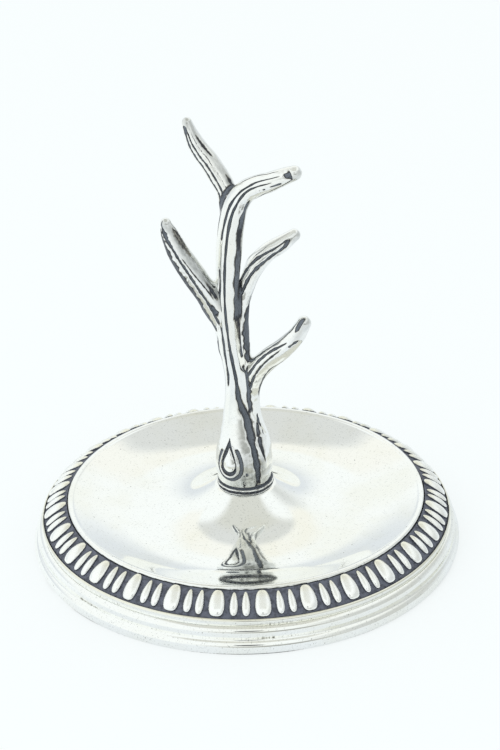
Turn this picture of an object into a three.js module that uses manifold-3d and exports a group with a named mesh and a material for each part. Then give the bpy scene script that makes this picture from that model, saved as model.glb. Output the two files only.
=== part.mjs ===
// A silver ring tree: a cast stem with four soldered branches, held by a stud and nut
// on the raised boss of a spun dish. The dish sits on a stepped rim, and a cast border
// of wide and narrow lobes is let in between the two.
// Millimetres, +Z up, origin on the table under the stem, front towards -Y.
import * as THREE from "three";
import { mergeVertices } from "three/addons/utils/BufferGeometryUtils.js";
import Module from "manifold-3d";

const wasm = await Module();
wasm.setup();

// Driving sizes, all in millimetres unless the name says otherwise.
const OVERRUN = 1; // how far a cutting body runs past what it cuts
const SOLDER_GAP = 0.3; // between a branch and what it is soldered to

// The stepped rim, from the table up. A step is how far a member stands in from the foot.
const rim = {
  radius: 45,
  landInset: 0.5,
  landWidth: 1.1,
  torusHeight: 3.1,
  grooveHeight: 0.8,
  ovoloHeight: 1.7,
  quirkHeight: 0.6,
  beadHeight: 0.8,
  shoulderStep: 0.9,
  grooveStep: 1.35,
  ovoloStep: 0.95,
  quirkStep: 2.2,
  beadStep: 1.9,
  beadWidth: 0.4,
  wall: 1.1,
};

// The border that is let in between the rim's bead and the dish's lip.
const border = {
  width: 4.85,
  rise: 3.55,
  edge: 0.55,
  innerEdge: 1.3,
  lift: 0.15,
  outerSeat: 0.75,
  innerSeat: 0.65,
  clearance: 0.2,
  repeats: 28,
  turnDegrees: -8.6,
};
const wideLobe = { length: 5.7, width: 3.1, relief: 0.8, offset: -0.1 };
const narrowLobe = { length: 5.2, width: 1.65, relief: 0.65, offset: -0.05 };
const LOBE_GAP = 0.75; // between the two narrow lobes of a repeat

// The spun dish: boss, trough and lip.
const dish = {
  sheet: 1,
  flange: 1,
  lipCrown: 0.6,
  lipInset: 0.9,
  wallHeight: 3.6,
  troughRadius: 23,
  bossRadius: 6.2,
  bossRise: 6.3,
};

// The collar under the stem, and what clamps the stem to the boss.
const collar = { radius: 6, height: 1, grooveDepth: 0.25, grooveWidth: 0.3 };
const stud = { radius: 1.5, clearance: 0.2, engagement: 5, proud: 0.8, chamfer: 0.3 };
const washer = { radius: 4.5, thickness: 0.8 };
const nut = { acrossFlats: 5.5, height: 2.4 };

// The cast stem, from its swollen foot to the tip that curls over to the right.
const stem = {
  rise: 69.1,
  reach: 11,
  lean: 2.3,
  bulbRadius: 5.95,
  waistRadius: 2.15,
  tipRadius: 1.5,
  grooveWidth: 1.45,
  grooveDepth: 0.8,
};
// One row for each place on the stem: reach, lean and rise as shares of the stem's own,
// then how much of the bulb, and how much of the taper to the tip, the radius has.
const stemShares = [
  [-0.014, 0, 0, 0.87, 0],
  [-0.014, 0, 0.045, 1, 0],
  [-0.018, 0, 0.083, 0.975, 0],
  [-0.036, 0, 0.126, 0.8, 0],
  [-0.07, 0, 0.177, 0.49, 0],
  [-0.105, 0, 0.227, 0.23, 0],
  [-0.131, 0, 0.285, 0.07, 0],
  [-0.173, 0, 0.35, 0, 0],
  [-0.208, 0, 0.415, 0, 0],
  [-0.235, 0, 0.473, 0, 0],
  [-0.254, 0, 0.531, 0, 0],
  [-0.256, 0, 0.596, 0.02, 0],
  [-0.23, 0, 0.661, 0.06, 0],
  [-0.195, 0, 0.748, 0.12, 0],
  [-0.134, 0, 0.835, 0.12, 0],
  [-0.036, 0, 0.896, 0.09, 0],
  [0.127, 0.22, 0.935, 0.04, 0],
  [0.336, 0.43, 0.955, 0, 0],
  [0.555, 0.65, 0.969, 0, 0.25],
  [0.845, 0.87, 0.99, 0, 0.65],
  [1, 1, 1, 0, 1],
];
// The stem's grooves. Each row has a share of the stem's path, the groove's place in
// degrees from the front towards the right, and its width and depth as shares of the
// stem's grooveWidth and grooveDepth. Plain is the number of points up to the next groove.
const stemGrooves = [
  {
    plain: 1,
    courseShares: [[0, -52, 0.38, 0], [0.29, -44, 0.38, 0], [0.34, -36, 0.38, 0.45],
      [0.36, -27, 0.38, 0.45], [0.42, -22, 0.38, 0.45], [0.48, -29, 0.38, 0.45],
      [0.56, -37, 0.38, 0.45], [0.62, -45, 0.4, 0.45], [0.72, -35, 0.4, 0.45],
      [0.82, -34, 0.36, 0.45], [0.88, -43, 0.3, 0.3], [0.95, -30, 0.3, 0]],
  },
  {
    plain: 3,
    courseShares: [[0, 30, 0.8, 0.2], [0.03, 29, 1, 1], [0.1, 27, 1.1, 1], [0.2, 24, 1.15, 1],
      [0.25, 27, 1.05, 1], [0.29, 25, 1, 0.9], [0.31, 15, 0.85, 0.7], [0.35, 16, 0.66, 0.6],
      [0.4, 16, 0.55, 0.55], [0.44, 8, 0.48, 0.5], [0.48, 2, 0.44, 0.5], [0.55, -7, 0.42, 0.5],
      [0.62, -17, 0.44, 0.5], [0.66, -16, 0.55, 0.5], [0.76, -7, 0.5, 0.5], [0.83, -17, 0.36, 0.4],
      [0.88, -17, 0.3, 0.3], [0.95, -12, 0.3, 0]],
  },
  { plain: 1, courseShares: [[0, 150, 0.6, 0], [0.12, 150, 0.6, 0.5], [0.9, 160, 0.38, 0.3], [1, 160, 0.3, 0]] },
  { plain: 2, courseShares: [[0, 214, 0.6, 0], [0.2, 214, 0.4, 0.4], [0.9, 210, 0.38, 0.3], [1, 210, 0.3, 0]] },
];

// The bud on the bulb: a raised drop-shaped rim round a sunk drop that holds a seed.
const bud = {
  turnDegrees: -36,
  height: 7.5,
  rimLength: 9.5,
  rimWidth: 4.9,
  rimRelief: 0.4,
  sunkLength: 7.9,
  sunkWidth: 3.7,
  sunkDepth: 0.55,
  seedLength: 5.3,
  seedWidth: 2.7,
  seedRelief: 0.9,
  seedDrop: 0.75,
};

// The branches. A branch's root lies against the stem, turned from the stem's front towards
// its right. A root row has the share of the stem's path, the branch's girth there, and how
// far the branch's middle stands off the stem, as a share of its own radius. A free row has
// reach, lean and rise as shares of the branch's own, from the stem at leaveShare, and the
// girth. A lean is towards the back. Each groove row has the share of the branch's path and
// the groove's place in degrees, and a groove runs out at its first and its last row.
const branches = {
  branch_upper_left: {
    turnDegrees: 180, reach: -8.3, lean: 7.2, rise: 18.77, girth: 2.08, tipRadius: 1.05, steps: 15,
    leaveShare: 0.7,
    rootShares: [[0.67, 0.5, -0.2], [0.7, 0.75, -0.3]],
    freeShares: [[0.063, 0.36, 0.17, 0.9], [0.11, 0.445, 0.32, 0.98], [0.28, 0.58, 0.456, 1],
      [0.49, 0.71, 0.598, 0.97], [0.675, 0.82, 0.696, 0.92], [0.85, 0.917, 0.822, 0.8],
      [1, 1, 1, 0.5]],
    grooveShares: [[[0.2, -50], [0.42, -54], [0.65, -47], [0.97, -48]],
      [[0.28, -24], [0.46, -15], [0.8, -13], [0.97, -24]]],
  },
  branch_middle_left: {
    turnDegrees: -100, reach: -11.35, lean: -4.8, rise: 27.1, girth: 2.2, tipRadius: 1.05, steps: 15,
    leaveShare: 0.45,
    rootShares: [[0.42, 0.6, -1.1]],
    freeShares: [[0.088, -0.1, 0.079, 0.82], [0.234, 0, 0.235, 0.96], [0.362, 0.167, 0.377, 1],
      [0.511, 0.333, 0.513, 1], [0.645, 0.5, 0.628, 0.97], [0.785, 0.667, 0.744, 0.9],
      [0.885, 0.833, 0.85, 0.8], [0.955, 0.917, 0.934, 0.67], [1, 1, 1, 0.48]],
    grooveShares: [[[0.1, -40], [0.26, -44], [0.42, -70], [0.8, -72], [0.97, -66]],
      [[0.16, -4], [0.26, -4], [0.4, -18], [0.69, -23], [0.86, -38], [0.97, -50]]],
  },
  branch_middle_right: {
    turnDegrees: 112, reach: 13.77, lean: 5.8, rise: 15.68, girth: 2, tipRadius: 1.31, steps: 16,
    leaveShare: 0.5,
    rootShares: [[0.31, 0.5, 0.3], [0.37, 0.62, 0.4], [0.41, 0.7, 0.5], [0.45, 0.73, 0.5],
      [0.5, 0.75, 0.6]],
    freeShares: [[0.228, 0.259, 0.221, 0.78], [0.27, 0.345, 0.337, 0.81], [0.336, 0.448, 0.516, 0.91],
      [0.45, 0.586, 0.688, 1], [0.614, 0.724, 0.816, 0.955], [0.807, 0.862, 0.9, 0.885],
      [1, 1, 1, 0.66]],
    grooveShares: [[[0.56, -62], [0.68, -45], [0.84, -16], [0.97, -24]],
      [[0.4, -30], [0.51, -18], [0.6, -8], [0.7, 5], [0.8, 18], [0.97, 12]]],
  },
  branch_lower_right: {
    turnDegrees: 92, reach: 13.88, lean: -3.8, rise: 17.63, girth: 2.25, tipRadius: 1.5, steps: 18,
    leaveShare: 0.3,
    rootShares: [[0.13, 0.45, -0.95], [0.2, 0.58, -0.39], [0.25, 0.65, 0.11], [0.3, 0.68, 0.6]],
    freeShares: [[0.259, 0, 0.162, 0.8], [0.33, 0.16, 0.331, 0.98], [0.509, 0.42, 0.506, 1],
      [0.715, 0.684, 0.666, 0.94], [0.89, 0.895, 0.838, 0.82], [1, 1, 1, 0.67]],
    grooveShares: [[[0.46, -62], [0.57, -45], [0.74, -50], [0.86, -36]],
      [[0.38, -30], [0.42, -18], [0.57, -12], [0.76, -22], [0.86, -10]]],
  },
};
const branchGroove = { widthShare: 0.26, depthShare: 0.15, plain: 7 };

// How finely each kind of surface is cut into facets.
const FACETS_PER_REPEAT = 2;
const RING_SEGMENTS = FACETS_PER_REPEAT * border.repeats;
const WIDE_SIDES = 6;
const NARROW_SIDES = 6;
const SMALL_SEGMENTS = 24;
const STUD_SEGMENTS = 16;
const STEM_STEPS = 30;
const ROUND_POINTS = 14;
const FULL_TURN = 360;
const HEXAGON_SIDES = 6;
const TIP_RINGS = 2;

// Heights and radii that follow from the sizes above.
const beadTop = rim.torusHeight + rim.grooveHeight + rim.ovoloHeight + rim.quirkHeight + rim.beadHeight;
const beadInner = rim.radius - rim.beadStep - rim.beadWidth;
const borderOuter = beadInner - border.clearance;
const borderInner = borderOuter - border.width;
const borderLow = beadTop - border.edge - border.clearance;
const borderHigh = borderLow + border.edge + border.rise;
const innerSeatHeight = borderHigh - border.innerEdge;
const lipOuter = borderInner - border.clearance;
const lipTop = borderHigh + dish.lipCrown;
const wallTop = lipTop - dish.lipCrown / 2;
const troughHeight = wallTop - dish.wallHeight;
const bossTop = troughHeight + dish.bossRise;
const bossUnderside = bossTop - dish.sheet;
const stemFoot = bossTop + collar.height;
const studHole = stud.radius + stud.clearance;

// A closed mesh as a solid, and a solid as a geometry.
function solidFrom(geometry) {
  const bare = geometry.clone();
  bare.deleteAttribute("normal");
  bare.deleteAttribute("uv");
  const merged = mergeVertices(bare);
  return new wasm.Manifold(
    new wasm.Mesh({
      numProp: 3,
      vertProperties: merged.attributes.position.array,
      triVerts: new Uint32Array(merged.index.array),
    }),
  );
}

function geometryFrom(solid) {
  const mesh = solid.getMesh();
  const geometry = new THREE.BufferGeometry();
  geometry.setAttribute("position", new THREE.BufferAttribute(mesh.vertProperties, 3));
  geometry.setIndex(new THREE.BufferAttribute(mesh.triVerts, 1));
  return geometry;
}

// A profile of [radius, height] points turned about the Z axis. The facets are turned
// with the border, so that their edges pass between its lobes.
const borderTurn = THREE.MathUtils.degToRad(border.turnDegrees);
function turned(profile, segments = RING_SEGMENTS) {
  const points = profile.map(([radius, height]) => new THREE.Vector2(radius, height));
  points.push(points[0].clone());
  return new THREE.LatheGeometry(points, segments)
    .rotateX(Math.PI / 2)
    .rotateZ(borderTurn + Math.PI / RING_SEGMENTS);
}

// A smooth run through hand-chosen [radius, height] points, as a list of the same kind.
function smoothRun(points, steps) {
  const curve = new THREE.SplineCurve(points.map(([x, y]) => new THREE.Vector2(x, y)));
  return curve.getPoints(steps).map((p) => [p.x, p.y]);
}

// The same run moved square to itself, to the side its normal points to.
function offsetRun(run, distance) {
  return run.map(([x, y], i) => {
    const [x0, y0] = run[Math.max(i - 1, 0)];
    const [x1, y1] = run[Math.min(i + 1, run.length - 1)];
    const length = Math.hypot(x1 - x0, y1 - y0);
    return [x + ((y1 - y0) / length) * distance, y - ((x1 - x0) / length) * distance];
  });
}

// The stepped rim: torus, groove, ovolo, quirk and bead outside, then the seat that
// carries the border, and the ledge that carries the dish.
function makeRim() {
  const grooveTop = rim.torusHeight + rim.grooveHeight;
  const ovoloTop = grooveTop + rim.ovoloHeight;
  const quirkTop = ovoloTop + rim.quirkHeight;
  const ledgeInner = lipOuter - dish.flange - border.clearance;
  const seatTop = borderInner + border.innerSeat - SOLDER_GAP;
  const seatFoot = borderOuter - border.outerSeat - SOLDER_GAP;
  const grooveRadius = rim.radius - rim.grooveStep;
  const ovoloRadius = rim.radius - rim.ovoloStep;
  const landInner = rim.radius - rim.landInset - rim.landWidth;
  return turned([
    [landInner, 0],
    [rim.radius - rim.landInset, 0],
    [rim.radius, rim.torusHeight * 0.3],
    [rim.radius, rim.torusHeight * 0.6],
    [rim.radius - rim.shoulderStep, rim.torusHeight],
    [grooveRadius, rim.torusHeight],
    [grooveRadius, grooveTop],
    [ovoloRadius, grooveTop],
    [ovoloRadius, grooveTop + rim.ovoloHeight * 0.45],
    [rim.radius - rim.beadStep, ovoloTop],
    [rim.radius - rim.quirkStep, ovoloTop],
    [rim.radius - rim.quirkStep, quirkTop],
    [rim.radius - rim.beadStep, quirkTop + rim.beadHeight / 2],
    [beadInner + rim.beadWidth / 2, beadTop],
    [beadInner, beadTop],
    [beadInner, borderLow],
    [seatFoot, borderLow],
    [seatTop, innerSeatHeight],
    [ledgeInner, innerSeatHeight],
    [ledgeInner, innerSeatHeight - rim.wall],
    [seatTop - rim.wall / 2, innerSeatHeight - rim.wall],
    [seatFoot - rim.wall / 2, borderLow - rim.wall],
    [grooveRadius - rim.wall, borderLow - rim.wall],
    [grooveRadius - rim.wall, rim.torusHeight],
  ]);
}

// One lobe of the border: an egg lying along +X, wide end outwards, flattened to its
// relief, with a flat facet on top.
function lobeGeometry(lobe, outlineShares, segments) {
  const outline = outlineShares.map(
    ([along, across]) => new THREE.Vector2((across * lobe.width) / 2, (along - 0.5) * lobe.length),
  );
  return new THREE.LatheGeometry(outline, segments, Math.PI / segments)
    .rotateZ(-Math.PI / 2)
    .scale(1, 1, (2 * lobe.relief) / lobe.width);
}
const wideOutlineShares = [[0, 0], [0.1, 0.65], [0.7, 1], [0.94, 0.65], [1, 0]];
const narrowOutlineShares = [[0, 0], [0.35, 0.8], [0.75, 1], [1, 0]];

// The border: a sloping band with its pattern of one wide and two narrow lobes.
function makeBorder() {
  const slant = Math.atan2(border.rise, border.width);
  const band = solidFrom(
    turned([
      [borderInner, innerSeatHeight],
      [borderInner + border.innerSeat, innerSeatHeight],
      [borderOuter - border.outerSeat, borderLow],
      [borderOuter, borderLow],
      [borderOuter, borderLow + border.edge],
      [borderInner, borderHigh],
    ]),
  );
  const wide = lobeGeometry(wideLobe, wideOutlineShares, WIDE_SIDES);
  const narrow = lobeGeometry(narrowLobe, narrowOutlineShares, NARROW_SIDES);
  const place = (lobe, geometry, turn) =>
    geometry
      .clone()
      .translate(lobe.offset, 0, border.lift)
      .rotateY(slant)
      .translate(
        borderOuter - border.width / 2,
        0,
        borderLow + border.edge + border.rise / 2,
      )
      .rotateZ(turn);
  const middle = borderOuter - border.width / 2;
  const narrowTurn = (narrowLobe.width + LOBE_GAP) / 2 / middle;
  const pitch = (2 * Math.PI) / border.repeats;
  const lobes = [];
  for (let i = 0; i < border.repeats; i += 1) {
    const start = i * pitch - Math.PI / 2 + borderTurn;
    lobes.push(solidFrom(place(wideLobe, wide, start)));
    lobes.push(solidFrom(place(narrowLobe, narrow, start + pitch / 2 - narrowTurn)));
    lobes.push(solidFrom(place(narrowLobe, narrow, start + pitch / 2 + narrowTurn)));
  }
  return geometryFrom(lobes.reduce((whole, lobe) => whole.add(lobe), band));
}

// The dish: a flat-topped boss, a trough, and a wall that rises to a rolled lip.
// Shares run from the boss's edge to the trough, and from the trough to the lip.
const flankShares = [[0, 1], [0.167, 0.67], [0.345, 0.37], [0.583, 0.14], [0.82, 0.03], [1, 0]];
const wallShares = [[0.23, 0.07], [0.385, 0.2], [0.615, 0.46], [0.846, 0.78], [1, 1]];
function makeDish() {
  const lipInner = lipOuter - dish.lipInset;
  const flank = flankShares.map(([across, up]) => [
    dish.bossRadius + across * (dish.troughRadius - dish.bossRadius),
    troughHeight + up * dish.bossRise,
  ]);
  const wall = wallShares.map(([across, up]) => [
    dish.troughRadius + across * (lipInner - dish.lipInset / 2 - dish.troughRadius),
    troughHeight + up * dish.wallHeight,
  ]);
  const top = smoothRun([...flank, ...wall], 8);
  const under = offsetRun(top, dish.sheet).slice(1, -1);
  return turned([
    [studHole, bossTop],
    [studHole, bossUnderside],
    [dish.bossRadius - dish.sheet / 2, bossUnderside],
    ...under,
    [lipOuter - dish.flange, innerSeatHeight + dish.sheet / 2],
    [lipOuter - dish.flange, innerSeatHeight],
    [lipOuter, innerSeatHeight],
    [lipOuter, lipTop - dish.lipCrown / 2],
    [lipOuter - dish.lipInset / 3, lipTop],
    [lipOuter - (2 * dish.lipInset) / 3, lipTop],
    ...top.slice().reverse(),
  ]);
}

// The collar between the boss and the stem, with a groove round its edge.
function makeCollar() {
  const low = bossTop + (collar.height - collar.grooveWidth) / 2;
  const high = low + collar.grooveWidth;
  return turned(
    [
      [studHole, bossTop],
      [collar.radius, bossTop],
      [collar.radius, low],
      [collar.radius - collar.grooveDepth, (low + high) / 2],
      [collar.radius, high],
      [collar.radius, stemFoot],
      [studHole, stemFoot],
    ],
    SMALL_SEGMENTS,
  );
}

// The stud that is screwed into the stem and runs down through the boss.
function makeStud() {
  const low = bossUnderside - washer.thickness - nut.height - stud.proud;
  const high = stemFoot + stud.engagement;
  return turned(
    [
      [0, low],
      [stud.radius - stud.chamfer, low],
      [stud.radius, low + stud.chamfer],
      [stud.radius, high - stud.chamfer],
      [stud.radius - stud.chamfer, high],
      [0, high],
    ],
    STUD_SEGMENTS,
  );
}

function makeWasher() {
  const low = bossUnderside - washer.thickness;
  return turned(
    [
      [studHole, low],
      [washer.radius, low],
      [washer.radius, bossUnderside],
      [studHole, bossUnderside],
    ],
    SMALL_SEGMENTS,
  );
}

function makeNut() {
  const outline = new THREE.Shape();
  const corner = nut.acrossFlats / Math.sqrt(3);
  for (let i = 0; i < HEXAGON_SIDES; i += 1) {
    const angle = (i * 2 * Math.PI) / HEXAGON_SIDES;
    const method = i ? "lineTo" : "moveTo";
    outline[method](corner * Math.cos(angle), corner * Math.sin(angle));
  }
  outline.closePath();
  outline.holes.push(new THREE.Path().absarc(0, 0, studHole, 0, 2 * Math.PI, true));
  return new THREE.ExtrudeGeometry(outline, {
    depth: nut.height,
    bevelEnabled: false,
    curveSegments: STUD_SEGMENTS / 2,
  }).translate(0, 0, bossUnderside - washer.thickness - nut.height);
}

// A groove's place, width and depth where a share of the strand's path has been run.
function courseAt(rows, share) {
  const next = rows.findIndex((row) => row[0] >= share);
  if (next < 0) return rows[rows.length - 1].slice(1);
  if (next === 0) return rows[0].slice(1);
  const [low, high] = [rows[next - 1], rows[next]];
  const blend = (share - low[0]) / (high[0] - low[0]);
  return low.slice(1).map((value, i) => value + (high[i + 1] - value) * blend);
}

// A strand's section: each point's angle from the front in degrees, and how far it is cut
// in. A groove has three points, its two shoulders and its bottom.
function groovedSection(grooves, fullWidth, fullDepth) {
  return (u, radius) => {
    const cuts = grooves.map(({ plain, courseShares }) => {
      const [middle, widthShare, depthShare] = courseAt(courseShares, u);
      const half = THREE.MathUtils.radToDeg((widthShare * fullWidth) / 2 / radius);
      return { plain, middle, half, cut: depthShare * fullDepth };
    });
    return cuts.flatMap(({ plain, middle, half, cut }, i) => {
      const after = i + 1 < cuts.length ? cuts[i + 1] : { ...cuts[0], middle: cuts[0].middle + FULL_TURN };
      const span = after.middle - after.half - middle - half;
      return [
        { angle: middle - half, cut: 0 },
        { angle: middle, cut },
        ...Array.from({ length: plain + 1 }, (_, j) => ({
          angle: middle + half + (span * j) / (plain + 1),
          cut: 0,
        })),
      ];
    });
  };
}
const roundSection = () =>
  Array.from({ length: ROUND_POINTS }, (_, i) => ({ angle: (i * FULL_TURN) / ROUND_POINTS, cut: 0 }));

// A curve through the rows, and the radius along it.
function strandCurve(rows) {
  const path = new THREE.CatmullRomCurve3(rows.map((row) => row.centre), false, "centripetal");
  const girth = new THREE.CatmullRomCurve3(
    rows.map((row) => new THREE.Vector3(row.radius, 0, 0)),
    false,
    "catmullrom",
  );
  return { path, radiusAt: (u) => girth.getPoint(u).x };
}

// The strand's own frame: its direction, its front and its right.
function frameAt(path, u) {
  const direction = path.getTangent(u);
  const front = new THREE.Vector3(0, -1, 0);
  front.addScaledVector(direction, -front.dot(direction)).normalize();
  return { direction, front, right: new THREE.Vector3().crossVectors(direction, front) };
}

// Skins a strand over its sections and closes it with a flat foot and a round tip.
function strandGeometry(curve, steps, sectionOf, swell = 0) {
  const positions = [];
  const index = [];
  const count = sectionOf(0, curve.radiusAt(0)).length;
  const ring = (u, centre, scale) => {
    const { front, right } = frameAt(curve.path, u);
    const radius = curve.radiusAt(u) + swell;
    sectionOf(u, radius).forEach((point) => {
      const angle = THREE.MathUtils.degToRad(point.angle);
      const reach = (radius - point.cut) * scale;
      const spot = centre
        .clone()
        .addScaledVector(front, reach * Math.cos(angle))
        .addScaledVector(right, reach * Math.sin(angle));
      positions.push(spot.x, spot.y, spot.z);
    });
  };
  for (let i = 0; i <= steps; i += 1) {
    ring(i / steps, curve.path.getPoint(i / steps), 1);
  }
  const end = curve.path.getPoint(1);
  const { direction } = frameAt(curve.path, 1);
  const tipRadius = curve.radiusAt(1) + swell;
  for (let i = 1; i <= TIP_RINGS; i += 1) {
    const angle = (i / (TIP_RINGS + 1)) * (Math.PI / 2);
    const centre = end.clone().addScaledVector(direction, tipRadius * Math.sin(angle));
    ring(1, centre, Math.cos(angle));
  }
  const rings = steps + 1 + TIP_RINGS;
  const foot = curve.path.getPoint(0);
  const tip = end.clone().addScaledVector(direction, tipRadius);
  const footIndex = rings * count;
  positions.push(foot.x, foot.y, foot.z, tip.x, tip.y, tip.z);
  for (let r = 0; r + 1 < rings; r += 1) {
    for (let i = 0; i < count; i += 1) {
      const a = r * count + i;
      const b = r * count + ((i + 1) % count);
      index.push(a, b, a + count, b, b + count, a + count);
    }
  }
  for (let i = 0; i < count; i += 1) {
    const next = (i + 1) % count;
    index.push(footIndex, next, i);
    index.push(footIndex + 1, (rings - 1) * count + i, (rings - 1) * count + next);
  }
  const geometry = new THREE.BufferGeometry();
  geometry.setAttribute("position", new THREE.Float32BufferAttribute(positions, 3));
  geometry.setIndex(index);
  return geometry;
}

// The stem's rows in millimetres, and its curve.
const stemRows = stemShares.map(([reach, lean, rise, bulb, taper]) => ({
  centre: new THREE.Vector3(reach * stem.reach, -lean * stem.lean, stemFoot + rise * stem.rise),
  radius:
    stem.waistRadius +
    bulb * (stem.bulbRadius - stem.waistRadius) +
    taper * (stem.tipRadius - stem.waistRadius),
}));
const stemCurve = strandCurve(stemRows);

// A drop shape, point upwards, in the plane of its own X and Y.
function dropShape(length, width) {
  const half = width / 2;
  const round = half * 1.05;
  const shape = new THREE.Shape();
  shape.moveTo(0, length / 2);
  shape.bezierCurveTo(-half * 0.25, length * 0.22, -half, length * 0.05, -half, -length / 2 + round);
  shape.bezierCurveTo(-half, -length / 2 + round * 0.4, -half * 0.55, -length / 2, 0, -length / 2);
  shape.bezierCurveTo(half * 0.55, -length / 2, half, -length / 2 + round * 0.4, half, -length / 2 + round);
  shape.bezierCurveTo(half, length * 0.05, half * 0.25, length * 0.22, 0, length / 2);
  return shape;
}

// A drop-shaped plug standing square on the bulb, its outer face a set height proud.
function dropPlug(length, width, depth, proud, bevel = 0, drop = 0) {
  const plug = new THREE.ExtrudeGeometry(dropShape(length - 2 * bevel, width - 2 * bevel), {
    depth: depth + proud - bevel,
    bevelEnabled: bevel > 0,
    bevelThickness: bevel,
    bevelSize: bevel,
    bevelSegments: 1,
    curveSegments: 3,
  });
  return plug
    .translate(0, 0, -depth)
    .rotateX(Math.PI / 2)
    .translate(0, -stem.bulbRadius, 0)
    .rotateZ(THREE.MathUtils.degToRad(bud.turnDegrees))
    .translate(stemRows[1].centre.x, 0, stemFoot + bud.height - drop);
}

function makeStem() {
  const section = groovedSection(stemGrooves, stem.grooveWidth, stem.grooveDepth);
  const body = solidFrom(strandGeometry(stemCurve, STEM_STEPS, section));
  const socket = solidFrom(
    turned(
      [
        [0, stemFoot - OVERRUN],
        [studHole, stemFoot - OVERRUN],
        [studHole, stemFoot + stud.engagement + stud.clearance],
        [0, stemFoot + stud.engagement + stud.clearance],
      ],
      STUD_SEGMENTS,
    ),
  );
  const rimDrop = solidFrom(dropPlug(bud.rimLength, bud.rimWidth, OVERRUN, bud.rimRelief, bud.rimRelief));
  const sunkDrop = solidFrom(dropPlug(bud.sunkLength, bud.sunkWidth, bud.sunkDepth, OVERRUN));
  const seedProud = bud.seedRelief - bud.sunkDepth;
  const seed = solidFrom(
    dropPlug(bud.seedLength, bud.seedWidth, OVERRUN, seedProud, bud.seedRelief * 0.6, bud.seedDrop),
  );
  return geometryFrom(body.add(rimDrop).subtract(sunkDrop).add(seed).subtract(socket));
}

// A branch's rows: its root lies against the stem, and its free part leaves from there.
function branchRows(branch) {
  const turn = THREE.MathUtils.degToRad(branch.turnDegrees);
  const rootRows = branch.rootShares.map(([u, girthShare, seatShare]) => {
    const { front, right } = frameAt(stemCurve.path, u);
    const radius = branch.girth * girthShare;
    const offset = stemCurve.radiusAt(u) + seatShare * radius;
    const centre = stemCurve.path
      .getPoint(u)
      .addScaledVector(front, offset * Math.cos(turn))
      .addScaledVector(right, offset * Math.sin(turn));
    return { centre, radius };
  });
  const leave = stemCurve.path.getPoint(branch.leaveShare);
  const freeRows = branch.freeShares.map(([reach, lean, rise, girthShare], i) => ({
    centre: new THREE.Vector3(reach * branch.reach, lean * branch.lean, rise * branch.rise).add(leave),
    radius: i === branch.freeShares.length - 1 ? branch.tipRadius : branch.girth * girthShare,
  }));
  return [...rootRows, ...freeRows];
}

const stemClearance = solidFrom(strandGeometry(stemCurve, STEM_STEPS, roundSection, SOLDER_GAP));

function makeBranch(branch, neighbours) {
  const grooves = branch.grooveShares.map((rows, i) => ({
    plain: i ? branchGroove.plain : 0,
    courseShares: rows.map(([share, angle], j) => [share, angle, 1, j > 0 && j + 1 < rows.length ? 1 : 0]),
  }));
  const section = groovedSection(
    grooves,
    branch.girth * branchGroove.widthShare,
    branch.girth * branchGroove.depthShare,
  );
  const curve = strandCurve(branchRows(branch));
  const body = solidFrom(strandGeometry(curve, branch.steps, section));
  return geometryFrom(neighbours.reduce((left, other) => left.subtract(other), body));
}

function branchClearance(branch) {
  const curve = strandCurve(branchRows(branch));
  return solidFrom(strandGeometry(curve, branch.steps, roundSection, SOLDER_GAP));
}

// Silver, polished and oxidised, and the steel of the fastening.
const polished = new THREE.MeshStandardMaterial({ color: 0xe9e7e1, roughness: 0.12, metalness: 1 });
const oxidised = new THREE.MeshStandardMaterial({ color: 0xb9b8b6, roughness: 0.3, metalness: 1 });
const steel = new THREE.MeshStandardMaterial({ color: 0xa9abae, roughness: 0.35, metalness: 1 });

function piece(name, geometry, material) {
  const mesh = new THREE.Mesh(geometry, material);
  mesh.name = name;
  return mesh;
}

const base = new THREE.Group();
base.add(piece("stepped_rim", makeRim(), polished));
base.add(piece("lobed_border", makeBorder(), oxidised));
base.add(piece("dish", makeDish(), polished));

const tree = new THREE.Group();
tree.add(piece("stem", makeStem(), polished));
const lowerRight = branchClearance(branches.branch_lower_right);
for (const [name, branch] of Object.entries(branches)) {
  const neighbours = name === "branch_middle_right" ? [stemClearance, lowerRight] : [stemClearance];
  tree.add(piece(name, makeBranch(branch, neighbours), polished));
}

const fastening = new THREE.Group();
fastening.add(piece("stem_collar", makeCollar(), polished));
fastening.add(piece("stud", makeStud(), steel));
fastening.add(piece("washer", makeWasher(), steel));
fastening.add(piece("nut", makeNut(), steel));

const ringTree = new THREE.Group();
ringTree.add(base, tree, fastening);

export default ringTree;
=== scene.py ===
"""The visible pieces of a silver ring tree, built round its CAD frame.

Lengths are metres, +Z is up, the front is -Y and the table is at height 0, as in the CAD frame.
"""

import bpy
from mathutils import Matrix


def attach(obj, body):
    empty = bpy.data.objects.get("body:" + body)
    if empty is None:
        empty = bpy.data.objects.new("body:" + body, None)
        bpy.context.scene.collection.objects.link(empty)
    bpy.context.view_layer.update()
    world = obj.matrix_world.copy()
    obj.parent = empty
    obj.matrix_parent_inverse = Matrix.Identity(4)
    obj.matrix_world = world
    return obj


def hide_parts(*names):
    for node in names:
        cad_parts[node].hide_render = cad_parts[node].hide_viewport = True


bl_info = {
    "name": "Ring tree",
    "version": (1, 0, 0),
    "blender": (4, 5, 0),
    "location": "3D Viewport > Sidebar > Ring Tree",
    "description": "Builds a silver ring tree on its lobed dish, with its stage",
    "category": "Add Mesh",
}

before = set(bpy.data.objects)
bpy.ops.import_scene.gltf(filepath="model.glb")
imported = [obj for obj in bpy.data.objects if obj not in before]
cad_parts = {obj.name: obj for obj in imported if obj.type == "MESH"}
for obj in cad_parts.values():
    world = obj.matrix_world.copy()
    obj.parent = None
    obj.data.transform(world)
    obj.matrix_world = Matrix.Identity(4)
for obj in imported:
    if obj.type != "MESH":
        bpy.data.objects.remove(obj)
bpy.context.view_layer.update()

import math

import bpy
import numpy as np
from bpy.props import FloatProperty, FloatVectorProperty, IntProperty, PointerProperty
from mathutils import Matrix, Vector

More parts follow.
